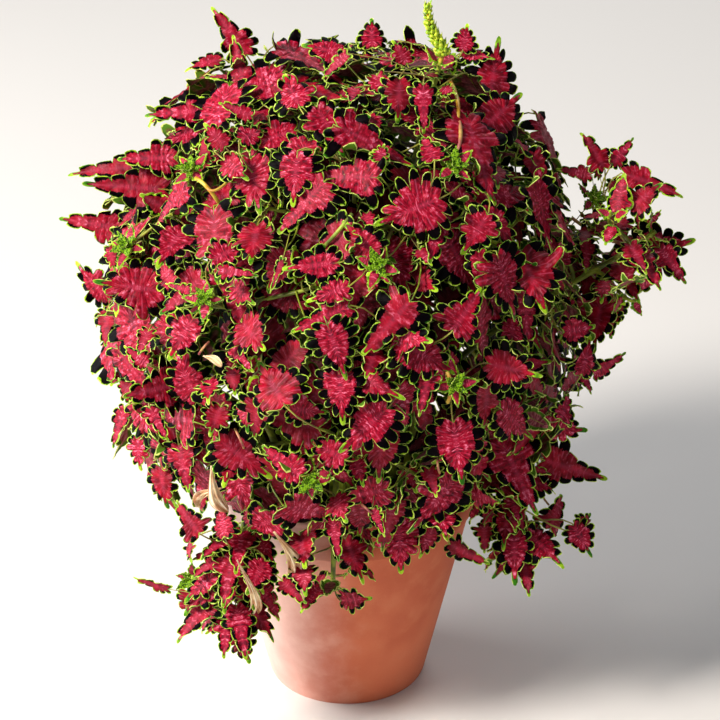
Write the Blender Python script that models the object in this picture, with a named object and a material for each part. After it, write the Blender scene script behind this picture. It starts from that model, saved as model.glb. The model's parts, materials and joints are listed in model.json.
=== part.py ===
# Coleus in a terracotta pot, at its real size.
# The origin is the centre of the pot's underside. Z is up, and the crown's best side faces -Y.
# Lengths are in millimetres here, and each mesh is made in metres.
import math
import random

import bmesh
import bpy
from mathutils import Matrix, Vector
from mathutils.bvhtree import BVHTree
from mathutils.geometry import delaunay_2d_cdt

MM = 0.001
SEED = 11
FIT_GAP = 0.3

# The pot: a cone with a collar
POT_SIDES = 32
POT_HEIGHT = 268.0
POT_FOOT_RADIUS = 87.5
POT_RIM_RADIUS = 145.0
COLLAR_HEIGHT = 50.0
COLLAR_STEP = 4.5
POT_WALL = 11.0
POT_FLOOR = 14.0
POT_EDGE = 3.0
DRAIN_RADIUS = 6.5
DRAIN_CIRCLE = 48.0
DRAIN_COUNT = 3

# The compost
COMPOST_TOP = 243.0
COMPOST_CROWN = 4.0
HOLE_DEPTH = 46.0

# The crown of leaves is near an ellipsoid
CROWN_CENTRE = Vector((-3.0, -4.0, 452.0))
CROWN_HALF = Vector((268.0, 252.0, 292.0))

# The front view that the leaf spots are read from: a square of 720 pixels,
# seen from 1.9 m up and 2.8 m in front
EYE = Vector((14.3, -2788.0, 1900.0))
EYE_PITCH = math.radians(61.5)
EYE_REACH_PX = 2965.0
VIEW_MIDDLE_PX = 360.0

# Stems and stalks
STEM_FOOT_RADIUS = 4.6
STEM_TIP_RADIUS = 2.6
SHOOT_RADIUS = 2.5
SHOOT_TIP_RADIUS = 2.0
STALK_HALF_WIDTH = 1.3
ROOT_HALF_WIDTH = 1.0
STALK_HALF_THICKNESS = 0.75
BLADE_HALF_THICKNESS = 0.5
TEST_SKIN = 0.5

# Half of a leaf's edge from stalk to tip: along the leaf, and out from the midrib.
# Lobe tips and the notches between them take turns.
LARGE_EDGE = [(0.00, 0.74), (0.19, 0.52), (0.34, 1.00), (0.47, 0.50), (0.62, 0.68), (0.70, 0.26)]
SMALL_EDGE = [(0.06, 0.82), (0.27, 0.50), (0.46, 0.98), (0.64, 0.28)]
LARGE_RIB = [0.28, 0.60]
SMALL_RIB = [0.42]
LARGE_WIDTH = 66.0
LEAST_WIDTH = 34.0

# Leaves that show from the front, read from the view in pixels:
# stalk end across and down, tip across and down, width, and how far it lies behind the crown's skin in mm
FRONT_LEAVES = {
    "top left": [
        (250, 60, 214, 8, 42, 0), (247, 97, 232, 38, 36, 0), (226, 64, 186, 70, 30, 0),
        (222, 110, 148, 113, 44, 0), (228, 150, 204, 123, 34, 0), (222, 158, 246, 178, 36, 0),
        (256, 118, 219, 102, 26, 0), (240, 140, 262, 128, 34, 10), (268, 84, 279, 24, 24, 0),
        (300, 108, 284, 74, 48, 0),
    ],
    "left": [
        (152, 166, 71, 169, 36, 10), (180, 158, 120, 158, 44, 0), (172, 190, 86, 183, 62, 0),
        (128, 230, 62, 218, 42, 0), (186, 226, 158, 258, 60, 0), (245, 210, 316, 233, 50, 0),
        (258, 222, 250, 258, 52, 0), (208, 262, 244, 244, 38, 0), (215, 272, 262, 280, 30, 0),
        (232, 284, 250, 302, 34, 10), (168, 292, 96, 282, 62, 0), (112, 302, 74, 266, 38, 0),
        (108, 308, 103, 344, 36, 10), (196, 314, 168, 358, 48, 0), (240, 320, 262, 348, 56, 0),
        (150, 328, 138, 352, 28, 0), (226, 342, 250, 370, 26, 0), (176, 288, 158, 262, 36, 10),
        (132, 256, 128, 280, 26, 10), (150, 366, 124, 348, 26, 0),
    ],
    "top": [
        (348, 56, 304, 42, 42, 0), (335, 78, 325, 106, 30, 5), (338, 120, 336, 154, 50, 0),
        (298, 146, 292, 205, 60, 0), (372, 50, 372, 18, 34, 5), (366, 58, 398, 31, 30, 0),
        (408, 66, 394, 40, 28, 0), (418, 56, 412, 28, 24, 5), (376, 70, 384, 98, 32, 5),
        (400, 74, 398, 122, 46, 0), (422, 80, 423, 132, 34, 0), (425, 72, 440, 62, 28, 15),
        (434, 160, 424, 137, 36, 0), (430, 138, 450, 125, 50, 20), (356, 84, 350, 102, 26, 10),
        (370, 112, 372, 135, 34, 15), (345, 160, 350, 182, 34, 20), (446, 196, 378, 223, 74, 0),
    ],
    "top right": [
        (462, 54, 468, 24, 32, 5), (458, 50, 493, 60, 26, 0), (488, 108, 500, 39, 60, 5),
        (484, 128, 520, 94, 66, 0), (462, 158, 482, 186, 28, 0), (496, 160, 498, 186, 38, 15),
        (525, 150, 552, 186, 42, 10),
    ],
    "right branch": [
        (606, 172, 586, 132, 38, 0), (610, 166, 634, 140, 26, 0), (594, 176, 558, 168, 24, 0),
        (618, 172, 682, 192, 38, 0), (640, 180, 622, 210, 42, 0), (598, 198, 612, 238, 36, 5),
        (652, 240, 640, 203, 24, 0), (632, 258, 694, 241, 62, 0), (634, 244, 618, 276, 38, 0),
        (582, 178, 564, 233, 28, 0), (582, 240, 584, 272, 34, 15), (576, 284, 608, 286, 38, 10),
        (586, 292, 600, 325, 28, 10),
    ],
    "middle": [
        (380, 260, 344, 222, 46, 0), (344, 262, 283, 269, 42, 0), (354, 284, 306, 302, 36, 0),
        (354, 304, 294, 331, 46, 5), (384, 330, 432, 342, 68, 0), (382, 336, 374, 362, 44, 0),
        (404, 272, 436, 290, 52, 20), (366, 212, 372, 228, 26, 15), (418, 248, 430, 262, 26, 15),
        (518, 246, 546, 306, 82, 0), (490, 210, 464, 254, 46, 0), (478, 246, 484, 296, 36, 10),
        (510, 196, 530, 210, 38, 20), (542, 186, 530, 212, 40, 20), (562, 332, 595, 327, 38, 0),
        (580, 378, 594, 338, 36, 0), (590, 376, 626, 356, 26, 0), (450, 334, 482, 290, 56, 0),
        (482, 362, 540, 376, 56, 0), (512, 340, 514, 314, 40, 20), (472, 392, 468, 418, 42, 25),
        (495, 400, 510, 422, 38, 25),
    ],
    "lower left": [
        (184, 382, 130, 396, 64, 0), (148, 404, 166, 440, 28, 0), (134, 396, 116, 380, 26, 5),
        (126, 404, 112, 446, 24, 5), (138, 434, 138, 470, 28, 5), (178, 440, 186, 490, 50, 0),
        (160, 462, 164, 508, 38, 0), (222, 404, 210, 434, 36, 0), (245, 400, 246, 430, 32, 10),
        (284, 404, 262, 368, 64, 0), (286, 408, 332, 418, 36, 0), (232, 366, 234, 394, 28, 15),
        (210, 378, 206, 398, 34, 15), (238, 448, 224, 482, 42, 0), (214, 432, 218, 456, 36, 15),
        (304, 478, 262, 449, 46, 0), (278, 496, 284, 518, 34, 20), (246, 508, 256, 532, 32, 15),
        (202, 536, 174, 504, 42, -20), (222, 538, 222, 506, 36, -10), (186, 538, 192, 562, 30, -30),
        (178, 560, 144, 566, 40, -40), (178, 576, 172, 600, 26, -40), (190, 586, 195, 631, 34, -45),
        (212, 584, 227, 549, 24, -30), (224, 590, 214, 614, 26, -40), (238, 604, 206, 638, 34, -50),
        (232, 592, 263, 606, 26, -40), (240, 626, 244, 661, 38, -55), (266, 558, 250, 590, 42, -35),
        (280, 578, 304, 604, 26, -40), (302, 562, 304, 592, 34, -35), (300, 532, 304, 566, 50, -15),
    ],
    "lower middle": [
        (338, 364, 343, 423, 54, 0), (392, 404, 341, 450, 66, 0), (430, 366, 421, 415, 30, 0),
        (452, 416, 463, 482, 62, 0), (428, 466, 436, 494, 32, 5), (437, 498, 446, 538, 52, 0),
        (346, 462, 312, 440, 44, 5), (334, 494, 344, 520, 38, 0), (332, 514, 338, 560, 28, 0),
        (398, 514, 402, 572, 56, 0), (434, 524, 422, 558, 28, 0), (424, 549, 455, 558, 24, 0),
        (405, 462, 412, 490, 34, 30), (354, 452, 362, 484, 30, 10), (498, 434, 536, 512, 66, 0),
        (508, 488, 528, 529, 28, 0), (470, 492, 494, 504, 40, 10), (340, 596, 322, 616, 34, -36),
        (338, 600, 370, 600, 34, -36),
    ],
    "lower right": [
        (538, 458, 604, 480, 56, 0), (560, 420, 572, 396, 34, 0), (536, 424, 586, 432, 38, 5),
        (512, 538, 506, 576, 46, -30), (500, 520, 520, 536, 34, -15), (524, 524, 542, 550, 34, -25),
        (550, 530, 562, 498, 42, -15), (568, 522, 591, 558, 38, -25), (578, 530, 592, 516, 26, -15),
        (446, 542, 487, 565, 28, -20), (484, 522, 486, 552, 28, -10),
    ],
}

# Stems whose tips leave the even crown, in mm
RIGHT_BRANCH_TIP = Vector((322.0, -12.0, 545.0))
LEFT_TRAIL_TIP = Vector((-126.0, -186.0, 176.0))
FRONT_TRAIL_TIP = Vector((-14.0, -184.0, 212.0))
RIGHT_TRAIL_TIP = Vector((186.0, -128.0, 228.0))
TOP_LEFT_TIP = Vector((-112.0, 22.0, 722.0))
RIGHT_BRANCH_SHOOTS = [(-50.0, -40.0, 40.0), (-20.0, -40.0, -60.0), (-60.0, 40.0, -10.0)]
EVEN_STEMS = 21
EVEN_TOP = 0.93
EVEN_BOTTOM = -0.62
STEM_REACH = 0.80
STEM_APART = 0.42
SHOOT_REACH = 0.90
SHOOTS_IN_CROWN = 54
GOLDEN_ANGLE = math.pi * (3.0 - math.sqrt(5.0))
HOLES_INNER = 16.0
HOLES_OUTER = 98.0
HOLE_SPACING = 22.0
STEM_STEPS = 5
STEM_SWINGS = [0.0, 0.1, -0.1, 0.2, -0.2, 0.32, -0.32, 0.45, -0.45]
MOST_STALK = 85.0
ROOT_SPACING = 3.5
SEAT_SPACING = 11.0
MOST_SEATS = 9
STALK_SUNK = 0.35

# The flower spike, read from the front view in pixels, in the plane y = SPIKE_Y
SPIKE_SPOTS = [(441, 60), (425, 32), (428, 4)]
SPIKE_Y = -15.0
SPIKE_RADIUS = 7.0
SPIKE_WHORLS = 6
SPIKE_NECK = 5.0

# Leaves set by rule round each shoot: how far below its tip a pair grows, its width and its stalk, in mm,
# and its turn in half turns
PAIRS = [(44.0, 88.0, 26.0, 0.0), (20.0, 66.0, 18.0, 0.5)]
PAIR_FLAT = 0.85
PAIR_DROOP = 0.45
PAIR_REACH = 0.96
JOIN_COST = 16
TRIANGLE_BUDGET = 15500


def sight(spot):
    # The direction from the eye through a spot of the front view
    up = Vector((0.0, math.cos(EYE_PITCH), math.sin(EYE_PITCH)))
    back = Vector((0.0, -math.sin(EYE_PITCH), math.cos(EYE_PITCH)))
    across = Vector((1.0, 0.0, 0.0)) * (spot[0] - VIEW_MIDDLE_PX)
    return (across - up * (spot[1] - VIEW_MIDDLE_PX) - back * EYE_REACH_PX).normalized()


def crown_spot(spot, back=0.0):
    # Where a spot of the view meets the crown, or passes nearest to it
    ray = sight(spot)
    half = CROWN_HALF - Vector((back, back, back))
    d = Vector(ray[i] / half[i] for i in range(3))
    o = Vector((EYE - CROWN_CENTRE)[i] / half[i] for i in range(3))
    a, b, c = d.dot(d), o.dot(d), o.dot(o) - 1.0
    root = b * b - a * c
    reach = (-b - math.sqrt(root)) / a if root > 0.0 else -b / a
    return EYE + ray * reach


def plane_spot(spot, y):
    # Where a spot of the view meets the upright plane at y
    ray = sight(spot)
    return EYE + ray * ((y - EYE.y) / ray.y)


def outward(point):
    # The crown's outward direction at a point
    away = point - CROWN_CENTRE
    return Vector(away[i] / CROWN_HALF[i] ** 2 for i in range(3)).normalized()


def on_skin(point, reach):
    # A point moved straight out from the crown's middle, or in, onto its skin shrunk by reach
    away = point - CROWN_CENTRE
    return CROWN_CENTRE + away * (reach / Vector(away[i] / CROWN_HALF[i] for i in range(3)).length)


def even_spots(count, reach):
    # Spots spread evenly over the crown, from its top down, on a skin shrunk by reach
    spots = []
    for k in range(count):
        z = EVEN_TOP - (EVEN_TOP - EVEN_BOTTOM) * (k + 0.5) / count
        ring = math.sqrt(1.0 - z * z)
        turn = k * GOLDEN_ANGLE
        unit = Vector((ring * math.cos(turn), ring * math.sin(turn), z))
        spots.append(CROWN_CENTRE + Vector(unit[i] * CROWN_HALF[i] * reach for i in range(3)))
    return spots


def bezier(a, b, c, d, t):
    s = 1.0 - t
    return a * s**3 + b * (3 * s * s * t) + c * (3 * s * t * t) + d * t**3


def square_to(direction, side):
    # The part of side that stands square to a direction
    flat = side - direction * side.dot(direction)
    if flat.length < 0.2:
        flat = direction.orthogonal()
    return flat.normalized()


def bar(points, radii, sides=4):
    # A closed bar along points, with flat ends
    verts, faces = [], []
    side = square_to((points[1] - points[0]).normalized(), Vector((1.0, 0.2, 0.1)))
    for k, point in enumerate(points):
        before, after = points[max(k - 1, 0)], points[min(k + 1, len(points) - 1)]
        along = (after - before).normalized()
        side = square_to(along, side)
        over = along.cross(side)
        for j in range(sides):
            turn = 2.0 * math.pi * j / sides
            verts.append(point + (side * math.cos(turn) + over * math.sin(turn)) * radii[k])
    for k in range(len(points) - 1):
        for j in range(sides):
            a, b = k * sides + j, k * sides + (j + 1) % sides
            faces.append((a, b, b + sides, a + sides))
    faces.append(tuple(reversed(range(sides))))
    faces.append(tuple(len(verts) - sides + j for j in range(sides)))
    return verts, faces


def flat_leaf(edge, rib):
    # A leaf's outline and midrib laid flat, and its triangles.
    # Points run from the stalk up one side, round the tip and down the other, then along the rib.
    stalk = 0.05
    right = [(s, -w) for s, w in edge]
    left = [(s, w) for s, w in reversed(edge)]
    rim = [(0.0, -stalk)] + right + [(1.0, 0.0)] + left + [(0.0, stalk)]
    places = rim + [(s, 0.0) for s in rib]
    tip = len(right) + 1
    chain = list(range(len(rim), len(places))) + [tip]
    edges = list(zip(chain, chain[1:]))
    flat = [Vector(place) for place in places]
    found = delaunay_2d_cdt(flat, edges, [list(range(len(rim)))], 1, 1e-7)
    faces = []
    for face in found[2]:
        a, b, c = (found[3][i][0] for i in face)
        turn = (flat[b] - flat[a]).cross(flat[c] - flat[a])
        faces.append((a, b, c) if turn > 0.0 else (a, c, b))
    return {"places": places, "rim": len(rim), "faces": faces}


FORMS = {"large": flat_leaf(LARGE_EDGE, LARGE_RIB), "small": flat_leaf(SMALL_EDGE, SMALL_RIB)}


def rise(leaf, k, s, w):
    # How far a leaf's surface stands off its flat plane: arched along, drooping or cupped across,
    # with every other lobe waved up or down
    form = FORMS[leaf["form"]]
    half = leaf["width"] / 2.0
    height = -leaf["curl"] * leaf["length"] * s * s + leaf["cup"] * half * w * w
    if 0 < k < form["rim"] - 1 and abs(w) > 0.0:
        step = k if w < 0.0 else form["rim"] - 1 - k
        if step % 2:
            height += leaf["wave"] * half * (1.0 if (step // 2) % 2 else -1.0)
        else:
            height += leaf["wave"] * half * 0.3
    return height


def leaf_plate(leaf, skin=0.0, start=0.0):
    # A leaf and its stalk as one thin closed plate, triangulated alike on both faces.
    # start is how far out along the stalk the plate begins.
    form = FORMS[leaf["form"]]
    base, axis, face = leaf["base"], leaf["axis"], leaf["face"]
    across = face.cross(axis)
    half = leaf["width"] / 2.0
    rim = form["rim"]
    mids, lifts = [], []
    for k, (s, w) in enumerate(form["places"]):
        if k in (0, rim - 1):
            mids.append(base + across * math.copysign(STALK_HALF_WIDTH, w))
        else:
            mids.append(base + axis * (s * leaf["length"]) + across * (w * half) + face * rise(leaf, k, s, w))
        lifts.append(face * (BLADE_HALF_THICKNESS + skin))
    root = leaf["root"].lerp(base, start)
    along = (base - root).normalized()
    side = axis.rotation_difference(along) @ across
    lift = along.cross(side) * (STALK_HALF_THICKNESS + skin)
    first = len(mids)
    mids += [root - side * ROOT_HALF_WIDTH, root + side * ROOT_HALF_WIDTH]
    lifts += [lift, lift]
    faces = form["faces"] + [(first, 0, rim - 1), (first, rim - 1, first + 1)]
    loop = [first] + list(range(rim)) + [first + 1]
    count = len(mids)
    verts = [m + o for m, o in zip(mids, lifts)] + [m - o for m, o in zip(mids, lifts)]
    solid = faces + [(c + count, b + count, a + count) for a, b, c in faces]
    for p, q in zip(loop, loop[1:] + loop[:1]):
        solid.append((p, p + count, q + count))
        solid.append((p, q + count, q))
    return verts, solid


class Bed:
    # Everything placed so far, to keep each new solid clear of it
    def __init__(self):
        self.solids = []

    def add(self, solid, owner):
        verts, faces = solid
        centre = sum(verts, Vector()) / len(verts)
        radius = max((v - centre).length for v in verts)
        self.solids.append((centre, radius, BVHTree.FromPolygons(verts, faces), owner))

    def meets(self, solid, own=None, others=True):
        # Whether a solid crosses any placed one: of owner own only, or of all but own
        verts, faces = solid
        centre = sum(verts, Vector()) / len(verts)
        radius = max((v - centre).length for v in verts)
        tree = None
        for spot, reach, other, owner in self.solids:
            if (owner == own) == others:
                continue
            if (spot - centre).length > reach + radius:
                continue
            tree = tree or BVHTree.FromPolygons(verts, faces)
            if tree.overlap(other):
                return True
        return False


def stem_holes(tips):
    # A hole for each stem: the lower its tip, the nearer the pot's wall
    order = sorted(range(len(tips)), key=lambda i: -tips[i].z)
    holes = [None] * len(tips)
    for rank, i in enumerate(order):
        ring = HOLES_INNER + (HOLES_OUTER - HOLES_INNER) * math.sqrt((rank + 0.5) / len(tips))
        turn = math.atan2(tips[i].y, tips[i].x)
        holes[i] = Vector((ring * math.cos(turn), ring * math.sin(turn), 0.0))
    for _ in range(60):
        for i, a in enumerate(holes):
            for b in holes[:i]:
                gap = a - b
                if gap.length < HOLE_SPACING:
                    push = gap.normalized() * (HOLE_SPACING - gap.length) * 0.5
                    a += push
                    b -= push
        for a in holes:
            if a.length > HOLES_OUTER:
                a *= HOLES_OUTER / a.length
    return holes


def stem_path(hole, tip, swing):
    # A stem rises from its hole and arches out to its tip, over the pot's rim where it hangs
    up = Vector((0.0, 0.0, 1.0))
    foot = Vector((hole.x, hole.y, COMPOST_TOP - HOLE_DEPTH))
    neck = Vector((hole.x, hole.y, COMPOST_TOP + COMPOST_CROWN + 3.0))
    if tip.z < 260.0:
        level = Vector((tip.x, tip.y, 0.0)).normalized()
        rise_to, arrive = neck + up * 112.0, tip + up * 165.0 - level * 26.0
    else:
        lead = (outward(tip) + up * 0.6).normalized()
        reach = (tip - neck).length
        rise_to, arrive = neck + up * max(0.4 * reach, 95.0), tip - lead * (0.34 * reach)
    turn = Matrix.Rotation(swing, 3, "Z")
    rise_to, arrive = turn @ rise_to, turn @ arrive
    points = [foot] + [bezier(neck, rise_to, arrive, tip, k / STEM_STEPS) for k in range(STEM_STEPS + 1)]
    return points


def triangles(solid):
    # A solid's triangles, with what joining it costs
    return sum(len(face) - 2 for face in solid[1]) + JOIN_COST


def taper(count, first, last):
    return [first + (last - first) * k / (count - 1) for k in range(count)]


def samples(points, start):
    # Spots every few millimetres along a path, each with its direction
    found = []
    length = sum((b - a).length for a, b in zip(points, points[1:]))
    passed = 0.0
    for a, b in zip(points, points[1:]):
        step = (b - a).length
        count = max(int(step / 6.0), 1)
        for k in range(count):
            if (passed + step * k / count) / length >= start:
                found.append((a.lerp(b, k / count), (b - a).normalized()))
        passed += step
    return found


def grow_stems(bed):
    # The main stems, each clear of the others
    special = [RIGHT_BRANCH_TIP, LEFT_TRAIL_TIP, FRONT_TRAIL_TIP, RIGHT_TRAIL_TIP, TOP_LEFT_TIP,
               plane_spot(SPIKE_SPOTS[0], SPIKE_Y)]
    tips = list(special)
    for spot in even_spots(EVEN_STEMS, STEM_REACH):
        low = spot.z < POT_HEIGHT + 20.0 and Vector((spot.x, spot.y)).length < POT_RIM_RADIUS + 20.0
        way = (spot - CROWN_CENTRE).normalized()
        near = any(way.angle((tip - CROWN_CENTRE).normalized()) < STEM_APART for tip in special)
        if not low and not near:
            tips.append(spot)
    stems = []
    holes = stem_holes(tips)
    for i, tip in enumerate(tips):
        for swing in STEM_SWINGS:
            points = stem_path(holes[i], tip, swing)
            count = len(points) - 1
            radii = [STEM_FOOT_RADIUS] + taper(count, STEM_FOOT_RADIUS, STEM_TIP_RADIUS)
            if not bed.meets(bar(points[1:], [r + TEST_SKIN for r in radii[1:]]), None):
                break
        else:
            continue
        name = f"leafy_stem_{len(stems) + 1:02d}"
        bed.add(bar(points[1:], [r + TEST_SKIN for r in radii[1:]]), name)
        stems.append({"name": name, "tip": tip, "points": points,
                      "pieces": [bar(points, radii)], "spots": samples(points, 0.42), "roots": [],
                      "shoots": [(tip, (points[-1] - points[-2]).normalized())]})
    return stems


def grow_shoots(stems, bed):
    # Side shoots reach out to spots spread over the crown, each from the stem whose tip lies nearest
    ends = even_spots(SHOOTS_IN_CROWN, SHOOT_REACH)
    ends += [RIGHT_BRANCH_TIP + Vector(step) for step in RIGHT_BRANCH_SHOOTS]
    for end in ends:
        if end.z < POT_HEIGHT + 15.0 and Vector((end.x, end.y)).length < POT_RIM_RADIUS + 25.0:
            continue
        for stem in sorted(stems, key=lambda stem: (stem["tip"] - end).length)[:2]:
            spot, lead = min(stem["spots"], key=lambda place: abs((place[0] - end).length - 62.0)
                             + 0.3 * (place[0] - end).length - 30.0 * place[1].dot((end - place[0]).normalized()))
            reach = (end - spot).length
            if reach < 26.0 or reach > 150.0:
                continue
            out = (outward(end) + Vector((0.0, 0.0, 0.5))).normalized()
            points = [bezier(spot, spot + lead * reach * 0.3, end - out * reach * 0.3, end, t)
                      for t in (0.0, 0.5, 1.0)]
            thick = taper(3, SHOOT_RADIUS, SHOOT_TIP_RADIUS)
            solid = bar(points, [r + TEST_SKIN for r in thick], 3)
            if bed.meets(solid, stem["name"]):
                continue
            beyond = bar(points[1:], [r + TEST_SKIN for r in thick[1:]], 3)
            if bed.meets(beyond, stem["name"], others=False):
                continue
            bed.add(solid, stem["name"])
            stem["pieces"].append(bar(points, thick, 3))
            stem["roots"].append(spot)
            stem["spots"] += samples(points, 0.3)
            stem["shoots"].append((end, (points[-1] - points[-2]).normalized()))
            break


def crosses_itself(solid):
    tree = BVHTree.FromPolygons(*solid)
    return any(not set(solid[1][a]) & set(solid[1][b]) for a, b in tree.overlap(tree))


def try_leaf(bed, leaf, stem):
    # Takes a leaf in where it is clear of all else
    if crosses_itself(leaf_plate(leaf)):
        return False
    if bed.meets(leaf_plate(leaf, TEST_SKIN), stem["name"]):
        return False
    if bed.meets(leaf_plate(leaf, TEST_SKIN, STALK_SUNK), stem["name"], others=False):
        return False
    bed.add(leaf_plate(leaf, TEST_SKIN), stem["name"])
    stem["pieces"].append(leaf_plate(leaf))
    stem["roots"].append(leaf["root"])
    return True


def changes():
    # Ways to bend a leaf clear, the least first: shift out, roll, pitch and size
    ways = []
    for size in (1.0, 0.93, 0.86):
        for shift in (0.0, 7.0, -7.0, 14.0, -14.0):
            for roll in (0.0, 0.3, -0.3):
                for pitch in (0.0, 0.3, -0.3):
                    cost = (1.0 - size) * 6.0 + abs(shift) / 9.0 + abs(roll) * 2.2 + abs(pitch) * 2.0
                    ways.append((cost, shift, roll, pitch, size))
    return sorted(ways)


CHANGES = changes()


def front_leaves(stems, bed, draw):
    # The leaves that the front view shows, the widest first
    rows = sorted((row for rows in FRONT_LEAVES.values() for row in rows), key=lambda row: -row[4])
    spots = [(spot, stem) for stem in stems for spot, lead in stem["spots"]]
    for u0, v0, u1, v1, wide, back in rows:
        ruffle = (draw.uniform(0.05, 0.22), draw.uniform(-0.3, 0.1), draw.uniform(0.08, 0.16))
        if wide < LEAST_WIDTH:
            continue
        middle = crown_spot(((u0 + u1) / 2.0, (v0 + v1) / 2.0), back)
        view = (EYE - middle).normalized()
        ray = sight(((u0 + u1) / 2.0, (v0 + v1) / 2.0))
        far = (middle - EYE).length
        drawn = sight((u1, v1)) - sight((u0, v0))
        drawn = (drawn - ray * drawn.dot(ray)) * far
        width = wide * far / EYE_REACH_PX
        length = max(drawn.length, 1.02 * width)
        share = min(drawn.length / length, 1.0)
        down = 1.0 if v1 >= v0 else -0.6
        axis = (drawn.normalized() * share + view * (down * math.sqrt(1.0 - share * share))).normalized()
        face = square_to(axis, outward(middle) * 0.7 + view * 0.9)
        take_leaf(bed, spots, middle, axis, face, width, length, ruffle)


def take_leaf(bed, spots, middle, axis, face, width, length, ruffle):
    # Bends one leaf clear and seats its stalk on the best of the nearest stems
    wanted = middle - axis * (0.45 * length + 24.0) - face * 20.0
    near = sorted(spots, key=lambda place: (place[0] - wanted).length)
    tried = []
    for spot, stem in near:
        if (spot - wanted).length > MOST_STALK or len(tried) == MOST_SEATS:
            break
        if any((spot - root).length < ROOT_SPACING for root in stem["roots"]):
            continue
        if any((spot - seat).length < SEAT_SPACING for seat in tried):
            continue
        tried.append(spot)
        for _, shift, roll, pitch, size in CHANGES:
            up = Matrix.Rotation(roll, 3, axis) @ face
            across = up.cross(axis)
            turn = Matrix.Rotation(pitch, 3, across)
            way, up = turn @ axis, turn @ up
            base = middle + up * shift - way * (0.45 * length * size)
            leaf = {"base": base, "axis": way, "face": up, "root": spot, "width": width * size,
                    "length": length * size, "form": "large" if width * size >= LARGE_WIDTH else "small",
                    "curl": ruffle[0], "cup": ruffle[1], "wave": ruffle[2]}
            if try_leaf(bed, leaf, stem):
                return True
    return False


def paired_leaves(stems, bed, draw, count):
    # Opposite pairs below each shoot's tip, from the back of the crown to its front, the largest first
    ends = [(tip, lead, stem) for stem in stems for tip, lead in stem["shoots"]]
    ends.sort(key=lambda end: -end[0].y)
    for below, wide, stalk, twist in PAIRS:
        for tip, lead, stem in ends:
            quarter = draw.uniform(0.0, math.pi)
            for side in (0.0, math.pi):
                ruffle = (draw.uniform(0.06, 0.2), draw.uniform(-0.25, 0.1), draw.uniform(0.08, 0.15))
                width = wide * draw.uniform(0.86, 1.1)
                if count >= TRIANGLE_BUDGET:
                    return
                turn = quarter + side + twist * math.pi
                round_lead = Matrix.Rotation(turn, 3, lead) @ square_to(lead, Vector((0.3, 0.2, 1.0)))
                root = tip - lead * below
                out = outward(tip)
                axis = round_lead + lead * 0.25
                axis = (axis - out * (PAIR_FLAT * axis.dot(out)) - Vector((0.0, 0.0, PAIR_DROOP))).normalized()
                face = square_to(axis, out + Vector((0.0, 0.0, 0.4)))
                length = width * draw.uniform(1.15, 1.35)
                middle = on_skin(root + axis * (stalk + 0.45 * length), PAIR_REACH)
                own = [(spot, stem) for spot, way in stem["spots"]
                       if (spot - root).length < 12.0 + below * 0.3]
                if own and take_leaf(bed, own, middle, axis, face, width, length, ruffle):
                    count += triangles(stem["pieces"][-1])


def mesh_object(name, solid, collection):
    # An object in metres from a solid in millimetres
    mesh = bpy.data.meshes.new(name)
    mesh.from_pydata([v * MM for v in solid[0]], [], solid[1])
    mesh.update()
    made = bpy.data.objects.new(name, mesh)
    collection.objects.link(made)
    return made


def apply_modifiers(made):
    shown = made.evaluated_get(bpy.context.evaluated_depsgraph_get())
    mesh = bpy.data.meshes.new_from_object(shown)
    made.modifiers.clear()
    made.data = mesh


def boolean_with(made, solids, operation):
    # One Boolean with a collection of solids, applied
    group = bpy.data.collections.new(made.name + ".solids")
    bpy.context.scene.collection.children.link(group)
    parts = [mesh_object(f"{made.name}.{k}", solid, group) for k, solid in enumerate(solids)]
    change = made.modifiers.new("Join", "BOOLEAN")
    change.operation = operation
    change.operand_type = "COLLECTION"
    change.collection = group
    apply_modifiers(made)
    for part in parts:
        bpy.data.objects.remove(part, do_unlink=True)
    bpy.data.collections.remove(group)


def painted(made, name, colour, roughness):
    material = bpy.data.materials.get(name) or bpy.data.materials.new(name)
    material.use_nodes = True
    shader = material.node_tree.nodes["Principled BSDF"]
    shader.inputs["Base Color"].default_value = (*colour, 1.0)
    shader.inputs["Roughness"].default_value = roughness
    shader.inputs["Metallic"].default_value = 0.0
    made.data.materials.clear()
    made.data.materials.append(material)


def turned(name, profile, sides):
    # A profile of (radius, height), run anticlockwise, turned round the Z axis
    work = bmesh.new()
    verts = [work.verts.new((r * MM, 0.0, z * MM)) for r, z in profile]
    edges = [work.edges.new(pair) for pair in zip(verts, verts[1:])]
    bmesh.ops.spin(work, geom=verts + edges, cent=(0, 0, 0), axis=(0, 0, 1), angle=2.0 * math.pi,
                   steps=sides, use_merge=True)
    bmesh.ops.remove_doubles(work, verts=work.verts, dist=1e-6)
    bmesh.ops.recalc_face_normals(work, faces=work.faces)
    mesh = bpy.data.meshes.new(name)
    work.to_mesh(mesh)
    work.free()
    made = bpy.data.objects.new(name, mesh)
    bpy.context.scene.collection.objects.link(made)
    return made


def wall_radius(z):
    # The pot's plain outer wall at a height, below its collar
    low = POT_HEIGHT - COLLAR_HEIGHT
    top = POT_RIM_RADIUS - 2.0 * COLLAR_STEP + 1.0
    return POT_FOOT_RADIUS + (top - POT_FOOT_RADIUS) * z / low


def inner_radius(z):
    return wall_radius(z) - POT_WALL


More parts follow.
